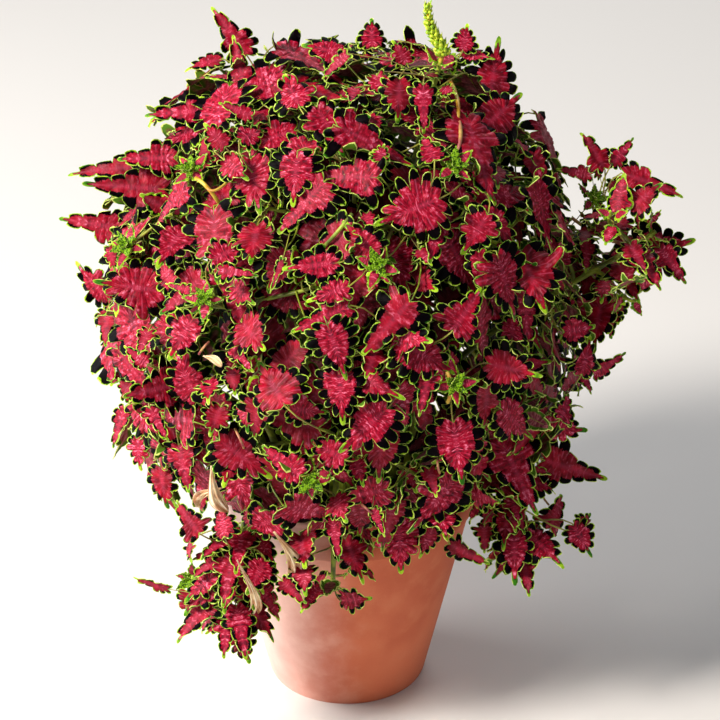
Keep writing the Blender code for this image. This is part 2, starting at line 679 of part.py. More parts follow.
def make_pot():
    low = POT_HEIGHT - COLLAR_HEIGHT
    edge = POT_EDGE
    profile = [
        (0.0, 0.0), (POT_FOOT_RADIUS - edge, 0.0), (POT_FOOT_RADIUS, edge),
        (wall_radius(low), low), (wall_radius(low) + COLLAR_STEP, low + 1.5),
        (POT_RIM_RADIUS, POT_HEIGHT - edge), (POT_RIM_RADIUS - edge, POT_HEIGHT),
        (inner_radius(POT_HEIGHT) + edge, POT_HEIGHT), (inner_radius(POT_HEIGHT), POT_HEIGHT - edge),
        (inner_radius(POT_FLOOR), POT_FLOOR), (0.0, POT_FLOOR),
    ]
    pot = turned("pot", profile, POT_SIDES)
    drains = []
    for k in range(DRAIN_COUNT):
        turn = 2.0 * math.pi * (k + 0.25) / DRAIN_COUNT
        spot = Vector((DRAIN_CIRCLE * math.cos(turn), DRAIN_CIRCLE * math.sin(turn), 0.0))
        ends = [spot - Vector((0, 0, 5.0)), spot + Vector((0, 0, POT_FLOOR + 5.0))]
        drains.append(bar(ends, [DRAIN_RADIUS, DRAIN_RADIUS], 10))
    boolean_with(pot, drains, "DIFFERENCE")
    painted(pot, "Terracotta", (0.62, 0.24, 0.14), 0.75)
    return pot


def make_compost(stems):
    low, top = POT_FLOOR + FIT_GAP, COMPOST_TOP
    profile = [
        (0.0, low), (inner_radius(low) - FIT_GAP, low), (inner_radius(top) - FIT_GAP, top),
        (0.6 * inner_radius(top), top + COMPOST_CROWN), (0.0, top + COMPOST_CROWN),
    ]
    compost = turned("compost", profile, POT_SIDES)
    size = STEM_FOOT_RADIUS + FIT_GAP * math.sqrt(2.0)
    holes = []
    for stem in stems:
        foot = stem["points"][0]
        ends = [foot - Vector((0.0, 0.0, FIT_GAP)), foot + Vector((0.0, 0.0, HOLE_DEPTH + 20.0))]
        holes.append(bar(ends, [size, size]))
    boolean_with(compost, holes, "DIFFERENCE")
    painted(compost, "Compost", (0.05, 0.035, 0.025), 0.95)
    return compost


def make_spike(stem):
    # A leaning spike with whorls of four buds, standing square on its stem's tip
    low, bend, top = (plane_spot(spot, SPIKE_Y) for spot in SPIKE_SPOTS)
    lead = (stem["points"][-1] - stem["points"][-2]).normalized()
    neck = stem["tip"] + lead * SPIKE_NECK

    def axis_spot(t):
        return bezier(neck, neck + lead * 12.0, bend, top, t)

    line = [stem["tip"] + lead * FIT_GAP] + [axis_spot(k / 5.0) for k in range(6)]
    rod = bar(line, taper(7, STEM_TIP_RADIUS, 1.6), 6)
    solids = []
    for k in range(SPIKE_WHORLS):
        t = 0.14 + 0.82 * k / (SPIKE_WHORLS - 1)
        centre = axis_spot(t)
        ahead = (axis_spot(min(t + 0.05, 1.0)) - centre).normalized()
        size = SPIKE_RADIUS * (1.0 - 0.55 * t)
        for quarter in range(4):
            turn = (quarter + 0.5 * (k % 2)) * 0.5 * math.pi
            out = Matrix.Rotation(turn, 3, ahead) @ square_to(ahead, Vector((1.0, 0.0, 0.0)))
            tip = centre + out * size + ahead * size * 0.75
            solids.append(bar([centre, tip], [0.42 * size, 0.16 * size], 3))
    return rod, solids


def main():
    for old in list(bpy.data.objects):
        bpy.data.objects.remove(old, do_unlink=True)
    scene = bpy.context.scene.collection
    draw = random.Random(SEED)
    bed = Bed()
    pot = make_pot()
    bed.add(([v.co / MM for v in pot.data.vertices], [tuple(p.vertices) for p in pot.data.polygons]), "pot")
    stems = grow_stems(bed)
    compost = make_compost(stems)
    bed.add(([v.co / MM for v in compost.data.vertices],
             [tuple(p.vertices) for p in compost.data.polygons]), "compost")
    spike_stem = min(stems, key=lambda stem: (stem["tip"] - plane_spot(SPIKE_SPOTS[0], SPIKE_Y)).length)
    rod, buds = make_spike(spike_stem)
    for solid in [rod] + buds:
        bed.add(solid, "flower_spike")
    grow_shoots(stems, bed)
    front_leaves(stems, bed, draw)
    count = sum(triangles(piece) for stem in stems for piece in stem["pieces"])
    paired_leaves(stems, bed, draw, count)
    spike = mesh_object("flower_spike", rod, scene)
    boolean_with(spike, buds, "UNION")
    painted(spike, "Flower buds", (0.55, 0.62, 0.12), 0.6)
    for stem in stems:
        made = mesh_object(stem["name"], stem["pieces"][0], scene)
        boolean_with(made, stem["pieces"][1:], "UNION")
        painted(made, "Coleus leaf", (0.42, 0.02, 0.08), 0.45)


main()
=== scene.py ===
import json
import math
import random

import bmesh
import bpy
import numpy as np
from mathutils import Matrix, Vector, noise as perlin
from mathutils.bvhtree import BVHTree
from mathutils.geometry import delaunay_2d_cdt

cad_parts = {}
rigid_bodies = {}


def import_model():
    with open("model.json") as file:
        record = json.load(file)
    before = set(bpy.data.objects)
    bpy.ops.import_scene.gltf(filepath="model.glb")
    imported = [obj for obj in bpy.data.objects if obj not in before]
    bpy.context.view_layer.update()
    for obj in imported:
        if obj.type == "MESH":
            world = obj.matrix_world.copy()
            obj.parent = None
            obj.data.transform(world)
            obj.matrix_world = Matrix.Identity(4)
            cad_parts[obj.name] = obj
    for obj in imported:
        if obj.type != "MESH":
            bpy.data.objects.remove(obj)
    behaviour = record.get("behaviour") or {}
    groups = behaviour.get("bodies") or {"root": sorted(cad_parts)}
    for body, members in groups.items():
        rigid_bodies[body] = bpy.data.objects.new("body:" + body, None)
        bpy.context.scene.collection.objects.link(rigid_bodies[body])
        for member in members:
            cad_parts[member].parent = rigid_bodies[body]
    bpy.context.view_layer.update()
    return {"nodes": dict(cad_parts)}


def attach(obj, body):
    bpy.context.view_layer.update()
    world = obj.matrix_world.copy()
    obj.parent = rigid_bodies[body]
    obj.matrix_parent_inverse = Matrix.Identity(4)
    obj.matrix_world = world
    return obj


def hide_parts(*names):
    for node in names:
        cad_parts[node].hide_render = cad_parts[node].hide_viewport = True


for old in list(bpy.data.objects):
    bpy.data.objects.remove(old, do_unlink=True)
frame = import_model()
scene = bpy.context.scene
mm = 0.001  # the plant is worked out in millimetres, as it is in the CAD, and each mesh is made in metres


# Shared helpers

def linear(hexColour):  # an sRGB hex colour as linear red, green, blue and alpha
    parts = [int(hexColour[i:i + 2], 16) / 255.0 for i in (1, 3, 5)]
    return tuple(p / 12.92 if p <= 0.04045 else ((p + 0.055) / 1.055) ** 2.4 for p in parts) + (1.0,)


def plug(tree, node, inputs):  # gives a node's inputs their links, hex colours and values
    for key, value in inputs.items():
        if isinstance(value, bpy.types.NodeSocket):
            tree.links.new(value, node.inputs[key])
        elif isinstance(value, str) and value.startswith("#"):
            node.inputs[key].default_value = linear(value)
        else:
            node.inputs[key].default_value = value


def addNode(tree, kind, inputs=None, **settings):  # a node with its settings, values and links
    node = tree.nodes.new(kind)
    for key, value in settings.items():
        setattr(node, key, value)
    plug(tree, node, inputs or {})
    return node


def newMaterial(name):
    material = bpy.data.materials.new(name)
    material.use_nodes = True
    return material, material.node_tree, material.node_tree.nodes["Principled BSDF"]


def summed(tree, total, *parts):  # patterns added to a total, each times its weight
    for part, weight in parts:
        total = addNode(tree, "ShaderNodeMath", {0: part, 1: weight, 2: total}, operation="MULTIPLY_ADD").outputs[0]
    return total


def layered(tree, base, layers):  # colours laid on a base, each up to a share as its value runs from low to high
    for value, low, high, share, colour in layers:
        span = {"Value": value, "From Min": low, "From Max": high, "To Max": share}
        part = addNode(tree, "ShaderNodeMapRange", span, interpolation_type="SMOOTHSTEP").outputs[0]
        base = addNode(tree, "ShaderNodeMix", {0: part, 6: base, 7: colour}, data_type="RGBA").outputs[2]
    return base


def dress(tree, shader, colour, roughness, height, strength, depth, gloss=0.5):  # colour, gloss and fine relief
    bump = addNode(tree, "ShaderNodeBump", {"Strength": strength, "Distance": depth, "Height": height}).outputs[0]
    plug(tree, shader, {"Base Color": colour, "Roughness": roughness, "Specular IOR Level": gloss, "Normal": bump})


def meshObject(name, verts, edges, faces):
    mesh = bpy.data.meshes.new(name)
    mesh.from_pydata(verts, edges, faces)
    return objectFrom(name, mesh)


def keep(mesh, key, values):  # stores one number, or three, for each point of a mesh
    values = np.array(values, dtype=float)
    kind, part = ("FLOAT_VECTOR", "vector") if values.ndim == 2 else ("FLOAT", "value")
    mesh.attributes.new(key, kind, "POINT").data.foreach_set(part, values.ravel())


def objectFrom(name, mesh):
    made = bpy.data.objects.new(name, mesh)
    scene.collection.objects.link(made)
    return made


def settle(made, name, slot, *nodes):  # hands a finished piece to the frame
    made.name = name
    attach(made, "root")
    if nodes:
        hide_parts(*nodes)


def asMesh(made):  # turns an object's modifiers into plain mesh
    shown = made.evaluated_get(bpy.context.evaluated_depsgraph_get())
    mesh = bpy.data.meshes.new_from_object(shown)
    made.modifiers.clear()
    made.data = mesh


def newTree(name, sockets):  # an empty Geometry Nodes tree with named inputs
    tree = bpy.data.node_groups.new(name, "GeometryNodeTree")
    tree.interface.new_socket("Geometry", in_out="INPUT", socket_type="NodeSocketGeometry")
    tree.interface.new_socket("Geometry", in_out="OUTPUT", socket_type="NodeSocketGeometry")
    for socket, kind in sockets:
        tree.interface.new_socket(socket, in_out="INPUT", socket_type="NodeSocket" + kind)
    start = tree.nodes.new("NodeGroupInput")
    end = tree.nodes.new("NodeGroupOutput")
    return tree, start.outputs, end.inputs


def endTree(tree, shape, skin, out):  # real geometry with its material, since the export drops instances
    real = addNode(tree, "GeometryNodeRealizeInstances", {"Geometry": shape}).outputs[0]
    done = addNode(tree, "GeometryNodeSetMaterial", {"Geometry": real, "Material": skin}).outputs[0]
    tree.links.new(done, out[0])
    return tree


def runTree(made, tree, values):  # sets a tree's inputs by their identifiers and applies it
    modifier = made.modifiers.new(tree.name, "NODES")
    modifier.node_group = tree
    for item in tree.interface.items_tree:
        if item.item_type == "SOCKET" and item.in_out == "INPUT" and item.name in values:
            modifier[item.identifier] = values[item.name]
    asMesh(made)


# Camera, floor and light

view = {
    "eye": (0.0143, -2.788, 1.90),
    "pitchDegrees": 61.5,
    "reachPx": 2965.0,     # the lens's reach in pixels of the 720 pixel square
    "middlePx": 360.0,
    "sensorMm": 36.0,
}

studio = {
    "floor": "#e9e7e4",
    "floorSize": 60.0,
    "world": "#eef2f8",
    "worldStrength": 0.17,
    "aim": (0.0, 0.0, 0.35),
    "lamps": {  # place in m, size in m, power in W and colour
        "key": ((-2.3, -1.7, 3.0), 0.9, 215.0, "#fff7ee"), "side": ((-3.0, 0.5, 0.9), 2.2, 95.0, "#ffffff"),
        "fill": ((2.6, -2.8, 1.4), 3.0, 17.0, "#eef3ff"), "rim": ((0.6, 2.8, 2.6), 2.0, 30.0, "#ffffff"),
    },
}


def makeCamera():
    data = bpy.data.cameras.new("camera")
    data.lens = view["reachPx"] * view["sensorMm"] / (2.0 * view["middlePx"])
    data.sensor_width = view["sensorMm"]
    data.clip_end = 100.0
    camera = objectFrom("camera", data)
    camera.location = view["eye"]
    camera.rotation_euler = (math.radians(view["pitchDegrees"]), 0.0, 0.0)
    scene.camera = camera


def makeLamp(name):
    place, size, power, colour = studio["lamps"][name]
    data = bpy.data.lights.new(name, "AREA")
    data.size = size
    data.energy = power
    data.color = linear(colour)[:3]
    lamp = objectFrom(name, data)
    lamp.location = place
    lamp.rotation_euler = (Vector(studio["aim"]) - lamp.location).to_track_quat("-Z", "Y").to_euler()


def makeStudio():
    half = studio["floorSize"] / 2.0
    floor = meshObject("floor", [(-half, -half, 0), (half, -half, 0), (half, half, 0), (-half, half, 0)], [],
                       [(0, 1, 2, 3)])
    material, tree, shader = newMaterial("matte white studio paper")  # no gloss, only soft shadows
    plug(tree, shader, {"Base Color": studio["floor"], "Roughness": 0.9, "Specular IOR Level": 0.1})
    floor.data.materials.append(material)
    world = bpy.data.worlds.new("sky")
    world.use_nodes = True
    sky = world.node_tree.nodes["Background"]
    sky.inputs["Color"].default_value = linear(studio["world"])
    sky.inputs["Strength"].default_value = studio["worldStrength"]
    scene.world = world
    for name in studio["lamps"]:
        makeLamp(name)
    scene.view_settings.view_transform = "Standard"
    scene.view_settings.look = "None"


makeCamera()
makeStudio()
print("camera, floor and lights made")


# The plant's rule: stems, shoots and leaf places, the same as in the CAD, so that each fine leaf lies on its solid

seed = 11
fitGap = 0.3

pot = {"height": 268.0, "footRadius": 87.5, "rimRadius": 145.0, "collar": 50.0, "step": 4.5, "wall": 11.0,
       "floor": 14.0, "edge": 3.0, "drainRadius": 6.5, "drainCircle": 48.0, "drains": 3}
soil = {"top": 243.0, "crown": 4.0, "holeDepth": 46.0}
crownCentre = Vector((-3.0, -4.0, 452.0))
crownHalf = Vector((268.0, 252.0, 292.0))
eye = Vector((14.3, -2788.0, 1900.0))
eyePitch = math.radians(view["pitchDegrees"])

growth = {
    "stemFoot": 4.6, "stemTip": 2.6, "shoot": 2.5, "shootTip": 2.0,
    "stalkWidth": 1.3, "rootWidth": 1.0, "stalkThickness": 0.75, "bladeHalf": 0.5, "skin": 0.5,
    "largeWidth": 66.0, "leastWidth": 34.0,
    "evenStems": 21, "evenTop": 0.93, "evenBottom": -0.62, "stemReach": 0.80, "stemApart": 0.42,
    "shootReach": 0.90,
    "shoots": 54, "holesInner": 16.0, "holesOuter": 98.0, "holeSpacing": 22.0, "stemSteps": 5,
    "swings": [0.0, 0.1, -0.1, 0.2, -0.2, 0.32, -0.32, 0.45, -0.45],
    "mostStalk": 85.0, "rootSpacing": 3.5, "seatSpacing": 11.0, "mostSeats": 9, "stalkSunk": 0.35,
    "pairs": [(44.0, 88.0, 26.0, 0.0), (20.0, 66.0, 18.0, 0.5)],
    "pairFlat": 0.85, "pairDroop": 0.45, "pairReach": 0.96,
    "joinCost": 16, "budget": 15500,
    "neck": 3.0, "hangBelow": 260.0, "hangRise": 112.0, "hangOver": 165.0, "hangOut": 26.0,
    "rise": 0.4, "leastRise": 95.0, "arrive": 0.34, "lean": 0.6, "fineSteps": 4,
    "spotStep": 6.0, "stemSpots": 0.42, "shootSpots": 0.3,  # mm between spots; where they start, as a share
    "stemClear": (20.0, 20.0), "shootClear": (15.0, 25.0),  # above and around the pot's rim
    "shootLeast": 26.0, "shootMost": 150.0, "shootBest": 62.0, "shootPull": 0.3, "shootHue": 0.25,
    "seatBack": 24.0, "seatUnder": 20.0, "bladeMiddle": 0.45,
    "sizes": (1.0, 0.93, 0.86), "shifts": (0.0, 7.0, -7.0, 14.0, -14.0), "tilts": (0.0, 0.3, -0.3),
    "costs": (6.0, 9.0, 2.2, 2.0),  # of a smaller size, of a mm of shift (shared), of roll and of pitch
}
goldenAngle = math.pi * (3.0 - math.sqrt(5.0))

# Half of a leaf's plain edge from stalk to tip: along the leaf, and out from the midrib
largeEdge = [(0.00, 0.74), (0.19, 0.52), (0.34, 1.00), (0.47, 0.50), (0.62, 0.68), (0.70, 0.26)]
smallEdge = [(0.06, 0.82), (0.27, 0.50), (0.46, 0.98), (0.64, 0.28)]
largeRib = [0.28, 0.60]
smallRib = [0.42]

# Leaves that show from the front, in pixels of the view:
# stalk end across and down, tip across and down, width, and how far it lies behind the crown's skin in mm
frontRows = {
    "top left": [
        (250, 60, 214, 8, 42, 0), (247, 97, 232, 38, 36, 0), (226, 64, 186, 70, 30, 0),
        (222, 110, 148, 113, 44, 0), (228, 150, 204, 123, 34, 0), (222, 158, 246, 178, 36, 0),
        (256, 118, 219, 102, 26, 0), (240, 140, 262, 128, 34, 10), (268, 84, 279, 24, 24, 0),
        (300, 108, 284, 74, 48, 0),
    ],
    "left": [
        (152, 166, 71, 169, 36, 10), (180, 158, 120, 158, 44, 0), (172, 190, 86, 183, 62, 0),
        (128, 230, 62, 218, 42, 0), (186, 226, 158, 258, 60, 0), (245, 210, 316, 233, 50, 0),
        (258, 222, 250, 258, 52, 0), (208, 262, 244, 244, 38, 0), (215, 272, 262, 280, 30, 0),
        (232, 284, 250, 302, 34, 10), (168, 292, 96, 282, 62, 0), (112, 302, 74, 266, 38, 0),
        (108, 308, 103, 344, 36, 10), (196, 314, 168, 358, 48, 0), (240, 320, 262, 348, 56, 0),
        (150, 328, 138, 352, 28, 0), (226, 342, 250, 370, 26, 0), (176, 288, 158, 262, 36, 10),
        (132, 256, 128, 280, 26, 10), (150, 366, 124, 348, 26, 0),
    ],
    "top": [
        (348, 56, 304, 42, 42, 0), (335, 78, 325, 106, 30, 5), (338, 120, 336, 154, 50, 0),
        (298, 146, 292, 205, 60, 0), (372, 50, 372, 18, 34, 5), (366, 58, 398, 31, 30, 0),
        (408, 66, 394, 40, 28, 0), (418, 56, 412, 28, 24, 5), (376, 70, 384, 98, 32, 5),
        (400, 74, 398, 122, 46, 0), (422, 80, 423, 132, 34, 0), (425, 72, 440, 62, 28, 15),
        (434, 160, 424, 137, 36, 0), (430, 138, 450, 125, 50, 20), (356, 84, 350, 102, 26, 10),
        (370, 112, 372, 135, 34, 15), (345, 160, 350, 182, 34, 20), (446, 196, 378, 223, 74, 0),
    ],
    "top right": [
        (462, 54, 468, 24, 32, 5), (458, 50, 493, 60, 26, 0), (488, 108, 500, 39, 60, 5),
        (484, 128, 520, 94, 66, 0), (462, 158, 482, 186, 28, 0), (496, 160, 498, 186, 38, 15),
        (525, 150, 552, 186, 42, 10),
    ],
    "right branch": [
        (606, 172, 586, 132, 38, 0), (610, 166, 634, 140, 26, 0), (594, 176, 558, 168, 24, 0),
        (618, 172, 682, 192, 38, 0), (640, 180, 622, 210, 42, 0), (598, 198, 612, 238, 36, 5),
        (652, 240, 640, 203, 24, 0), (632, 258, 694, 241, 62, 0), (634, 244, 618, 276, 38, 0),
        (582, 178, 564, 233, 28, 0), (582, 240, 584, 272, 34, 15), (576, 284, 608, 286, 38, 10),
        (586, 292, 600, 325, 28, 10),
    ],
    "middle": [
        (380, 260, 344, 222, 46, 0), (344, 262, 283, 269, 42, 0), (354, 284, 306, 302, 36, 0),
        (354, 304, 294, 331, 46, 5), (384, 330, 432, 342, 68, 0), (382, 336, 374, 362, 44, 0),
        (404, 272, 436, 290, 52, 20), (366, 212, 372, 228, 26, 15), (418, 248, 430, 262, 26, 15),
        (518, 246, 546, 306, 82, 0), (490, 210, 464, 254, 46, 0), (478, 246, 484, 296, 36, 10),
        (510, 196, 530, 210, 38, 20), (542, 186, 530, 212, 40, 20), (562, 332, 595, 327, 38, 0),
        (580, 378, 594, 338, 36, 0), (590, 376, 626, 356, 26, 0), (450, 334, 482, 290, 56, 0),
        (482, 362, 540, 376, 56, 0), (512, 340, 514, 314, 40, 20), (472, 392, 468, 418, 42, 25),
        (495, 400, 510, 422, 38, 25),
    ],
    "lower left": [
        (184, 382, 130, 396, 64, 0), (148, 404, 166, 440, 28, 0), (134, 396, 116, 380, 26, 5),
        (126, 404, 112, 446, 24, 5), (138, 434, 138, 470, 28, 5), (178, 440, 186, 490, 50, 0),
        (160, 462, 164, 508, 38, 0), (222, 404, 210, 434, 36, 0), (245, 400, 246, 430, 32, 10),
        (284, 404, 262, 368, 64, 0), (286, 408, 332, 418, 36, 0), (232, 366, 234, 394, 28, 15),
        (210, 378, 206, 398, 34, 15), (238, 448, 224, 482, 42, 0), (214, 432, 218, 456, 36, 15),
        (304, 478, 262, 449, 46, 0), (278, 496, 284, 518, 34, 20), (246, 508, 256, 532, 32, 15),
        (202, 536, 174, 504, 42, -20), (222, 538, 222, 506, 36, -10), (186, 538, 192, 562, 30, -30),
        (178, 560, 144, 566, 40, -40), (178, 576, 172, 600, 26, -40), (190, 586, 195, 631, 34, -45),
        (212, 584, 227, 549, 24, -30), (224, 590, 214, 614, 26, -40), (238, 604, 206, 638, 34, -50),
        (232, 592, 263, 606, 26, -40), (240, 626, 244, 661, 38, -55), (266, 558, 250, 590, 42, -35),
        (280, 578, 304, 604, 26, -40), (302, 562, 304, 592, 34, -35), (300, 532, 304, 566, 50, -15),
    ],
    "lower middle": [
        (338, 364, 343, 423, 54, 0), (392, 404, 341, 450, 66, 0), (430, 366, 421, 415, 30, 0),
        (452, 416, 463, 482, 62, 0), (428, 466, 436, 494, 32, 5), (437, 498, 446, 538, 52, 0),
        (346, 462, 312, 440, 44, 5), (334, 494, 344, 520, 38, 0), (332, 514, 338, 560, 28, 0),
        (398, 514, 402, 572, 56, 0), (434, 524, 422, 558, 28, 0), (424, 549, 455, 558, 24, 0),
        (405, 462, 412, 490, 34, 30), (354, 452, 362, 484, 30, 10), (498, 434, 536, 512, 66, 0),
        (508, 488, 528, 529, 28, 0), (470, 492, 494, 504, 40, 10), (340, 596, 322, 616, 34, -36),
        (338, 600, 370, 600, 34, -36),
    ],
    "lower right": [
        (538, 458, 604, 480, 56, 0), (560, 420, 572, 396, 34, 0), (536, 424, 586, 432, 38, 5),
        (512, 538, 506, 576, 46, -30), (500, 520, 520, 536, 34, -15), (524, 524, 542, 550, 34, -25),
        (550, 530, 562, 498, 42, -15), (568, 522, 591, 558, 38, -25), (578, 530, 592, 516, 26, -15),
        (446, 542, 487, 565, 28, -20), (484, 522, 486, 552, 28, -10),
    ],
}

# Smaller leaves that only the fine model has
smallRows = [
    (205, 165, 203, 136, 24, 0), (112, 243, 117, 272, 20, 0), (208, 283, 232, 300, 16, 0),
    (196, 292, 167, 284, 16, 0), (350, 52, 322, 77, 22, 0), (440, 88, 455, 92, 20, 0),
    (378, 162, 384, 145, 24, 0), (416, 150, 402, 172, 14, 0), (604, 178, 588, 153, 16, 0),
    (606, 190, 638, 174, 18, 0), (650, 232, 666, 214, 18, 0), (590, 232, 598, 246, 18, 0),
    (284, 256, 270, 292, 12, 0), (372, 266, 391, 284, 14, 0), (368, 262, 344, 257, 14, 0),
    (580, 370, 592, 393, 20, 0), (320, 478, 335, 460, 14, 0), (312, 490, 296, 486, 10, 0),
    (158, 534, 160, 558, 16, -15), (172, 590, 134, 580, 18, -35), (372, 506, 384, 536, 18, -5),
]

tips = {
    "right": Vector((322.0, -12.0, 545.0)), "left trail": Vector((-126.0, -186.0, 176.0)),
    "front trail": Vector((-14.0, -184.0, 212.0)), "right trail": Vector((186.0, -128.0, 228.0)),
    "top left": Vector((-112.0, 22.0, 722.0)),
}
rightShoots = [(-50.0, -40.0, 40.0), (-20.0, -40.0, -60.0), (-60.0, 40.0, -10.0)]
spike = {"spots": [(441, 60), (425, 32), (428, 4)], "y": -15.0, "radius": 7.0, "neck": 5.0}


def sight(spot):  # the direction from the eye through a spot of the front view
    up = Vector((0.0, math.cos(eyePitch), math.sin(eyePitch)))
    back = Vector((0.0, -math.sin(eyePitch), math.cos(eyePitch)))
    across = Vector((1.0, 0.0, 0.0)) * (spot[0] - view["middlePx"])
    return (across - up * (spot[1] - view["middlePx"]) - back * view["reachPx"]).normalized()


def crownSpot(spot, back=0.0):  # where a spot of the view meets the crown, or passes nearest to it
    ray = sight(spot)
    half = crownHalf - Vector((back, back, back))
    d = Vector(ray[i] / half[i] for i in range(3))
    o = Vector((eye - crownCentre)[i] / half[i] for i in range(3))
    a, b, c = d.dot(d), o.dot(d), o.dot(o) - 1.0
    root = b * b - a * c
    reach = (-b - math.sqrt(root)) / a if root > 0.0 else -b / a
    return eye + ray * reach


def planeSpot(spot, y):  # where a spot of the view meets the upright plane at y
    ray = sight(spot)
    return eye + ray * ((y - eye.y) / ray.y)


def outward(point):
    away = point - crownCentre
    return Vector(away[i] / crownHalf[i] ** 2 for i in range(3)).normalized()


def onSkin(point, reach):  # a point moved straight out from the crown's middle, or in, onto its shrunk skin
    away = point - crownCentre
    return crownCentre + away * (reach / Vector(away[i] / crownHalf[i] for i in range(3)).length)


def evenSpots(count, reach, start=0.0, top=growth["evenTop"]):  # spots spread evenly over the crown, top down
    spots = []
    for k in range(count):
        z = top - (top - growth["evenBottom"]) * (k + 0.5) / count
        ring = math.sqrt(1.0 - z * z)
        turn = start + k * goldenAngle
        unit = Vector((ring * math.cos(turn), ring * math.sin(turn), z))
        spots.append(crownCentre + Vector(unit[i] * crownHalf[i] * reach for i in range(3)))
    return spots


def bezier(a, b, c, d, t):
    s = 1.0 - t
    return a * s**3 + b * (3 * s * s * t) + c * (3 * s * t * t) + d * t**3


def squareTo(direction, side):  # the part of side that stands square to a direction
    flat = side - direction * side.dot(direction)
    if flat.length < 0.2:
        flat = direction.orthogonal()
    return flat.normalized()


def bar(points, radii, sides=4):  # a closed bar along points, with flat ends
    verts, faces = [], []
    side = squareTo((points[1] - points[0]).normalized(), Vector((1.0, 0.2, 0.1)))
    for k, point in enumerate(points):
        before, after = points[max(k - 1, 0)], points[min(k + 1, len(points) - 1)]
        along = (after - before).normalized()
        side = squareTo(along, side)
        over = along.cross(side)
        for j in range(sides):
            turn = 2.0 * math.pi * j / sides
            verts.append(point + (side * math.cos(turn) + over * math.sin(turn)) * radii[k])
    for k in range(len(points) - 1):
        for j in range(sides):
            a, b = k * sides + j, k * sides + (j + 1) % sides
            faces.append((a, b, b + sides, a + sides))
    faces.append(tuple(reversed(range(sides))))
    faces.append(tuple(len(verts) - sides + j for j in range(sides)))
    return verts, faces


def flatLeaf(edge, rib):  # the plain outline and midrib of a leaf laid flat, and its triangles
    stalk = 0.05
    right = [(s, -w) for s, w in edge]
    left = [(s, w) for s, w in reversed(edge)]
    rim = [(0.0, -stalk)] + right + [(1.0, 0.0)] + left + [(0.0, stalk)]
    places = rim + [(s, 0.0) for s in rib]
    tip = len(right) + 1
    chain = list(range(len(rim), len(places))) + [tip]
    edges = list(zip(chain, chain[1:]))
    flat = [Vector(place) for place in places]
    found = delaunay_2d_cdt(flat, edges, [list(range(len(rim)))], 1, 1e-7)
    faces = []
    for face in found[2]:
        a, b, c = (found[3][i][0] for i in face)
        turn = (flat[b] - flat[a]).cross(flat[c] - flat[a])
        faces.append((a, b, c) if turn > 0.0 else (a, c, b))
    return {"places": places, "rim": len(rim), "faces": faces}


plainForms = {"large": flatLeaf(largeEdge, largeRib), "small": flatLeaf(smallEdge, smallRib)}


def rise(leaf, k, s, w):  # how far a plain leaf's surface stands off its flat plane
    form = plainForms[leaf["form"]]
    half = leaf["width"] / 2.0
    height = -leaf["curl"] * leaf["length"] * s * s + leaf["cup"] * half * w * w
    if 0 < k < form["rim"] - 1 and abs(w) > 0.0:
        step = k if w < 0.0 else form["rim"] - 1 - k
        if step % 2:
            height += leaf["wave"] * half * (1.0 if (step // 2) % 2 else -1.0)
        else:
            height += leaf["wave"] * half * 0.3
    return height


def leafPlate(leaf, skin=0.0, start=0.0):
    # A leaf and its stalk as one plain closed plate. start is how far out along the stalk the plate begins
    form = plainForms[leaf["form"]]
    base, axis, face = leaf["base"], leaf["axis"], leaf["face"]
    across = face.cross(axis)
    half = leaf["width"] / 2.0
    rim = form["rim"]
    mids, lifts = [], []
    for k, (s, w) in enumerate(form["places"]):
        if k in (0, rim - 1):
            mids.append(base + across * math.copysign(growth["stalkWidth"], w))
        else:
            mids.append(base + axis * (s * leaf["length"]) + across * (w * half) + face * rise(leaf, k, s, w))
        lifts.append(face * (growth["bladeHalf"] + skin))
    faces, loop = form["faces"], list(range(rim))
    if start < 1.0:
        root = leaf["root"].lerp(base, start)
        along = (base - root).normalized()
        side = axis.rotation_difference(along) @ across
        lift = along.cross(side) * (growth["stalkThickness"] + skin)
        first = len(mids)
        mids += [root - side * growth["rootWidth"], root + side * growth["rootWidth"]]
        lifts += [lift, lift]
        faces = faces + [(first, 0, rim - 1), (first, rim - 1, first + 1)]
        loop = [first] + loop + [first + 1]
    count = len(mids)
    verts = [m + o for m, o in zip(mids, lifts)] + [m - o for m, o in zip(mids, lifts)]
    solid = faces + [(c + count, b + count, a + count) for a, b, c in faces]
    for p, q in zip(loop, loop[1:] + loop[:1]):
        solid.append((p, p + count, q + count))
        solid.append((p, q + count, q))
    return verts, solid


def newLeaf(base, axis, face, root, width, length, ruffle):
    return {"base": base, "axis": axis, "face": face, "root": root, "width": width, "length": length,
            "form": "large" if width >= growth["largeWidth"] else "small",
            "curl": ruffle[0], "cup": ruffle[1], "wave": ruffle[2]}


class Bed:  # everything placed so far, to keep each new piece clear of it
    def __init__(self):
        self.solids = []
        self.centres = np.zeros((4096, 3))
        self.radii = np.zeros(4096)

    def add(self, solid, owner):
        verts, faces = solid
        centre = sum(verts, Vector()) / len(verts)
        radius = max((v - centre).length for v in verts)
        self.centres[len(self.solids)] = centre
        self.radii[len(self.solids)] = radius
        self.solids.append((BVHTree.FromPolygons(verts, faces), owner))

    def meets(self, solid, own=None, others=True):  # whether a solid crosses one of owner own, or of all but own
        verts, faces = solid
        centre = sum(verts, Vector()) / len(verts)
        radius = max((v - centre).length for v in verts)
        count = len(self.solids)
        gaps = np.linalg.norm(self.centres[:count] - np.array(centre), axis=1)
        tree = None
        for i in np.nonzero(gaps <= self.radii[:count] + radius)[0]:
            other, owner = self.solids[i]
            if (owner == own) == others:
                continue
            tree = tree or BVHTree.FromPolygons(verts, faces)
            if tree.overlap(other):
                return True
        return False


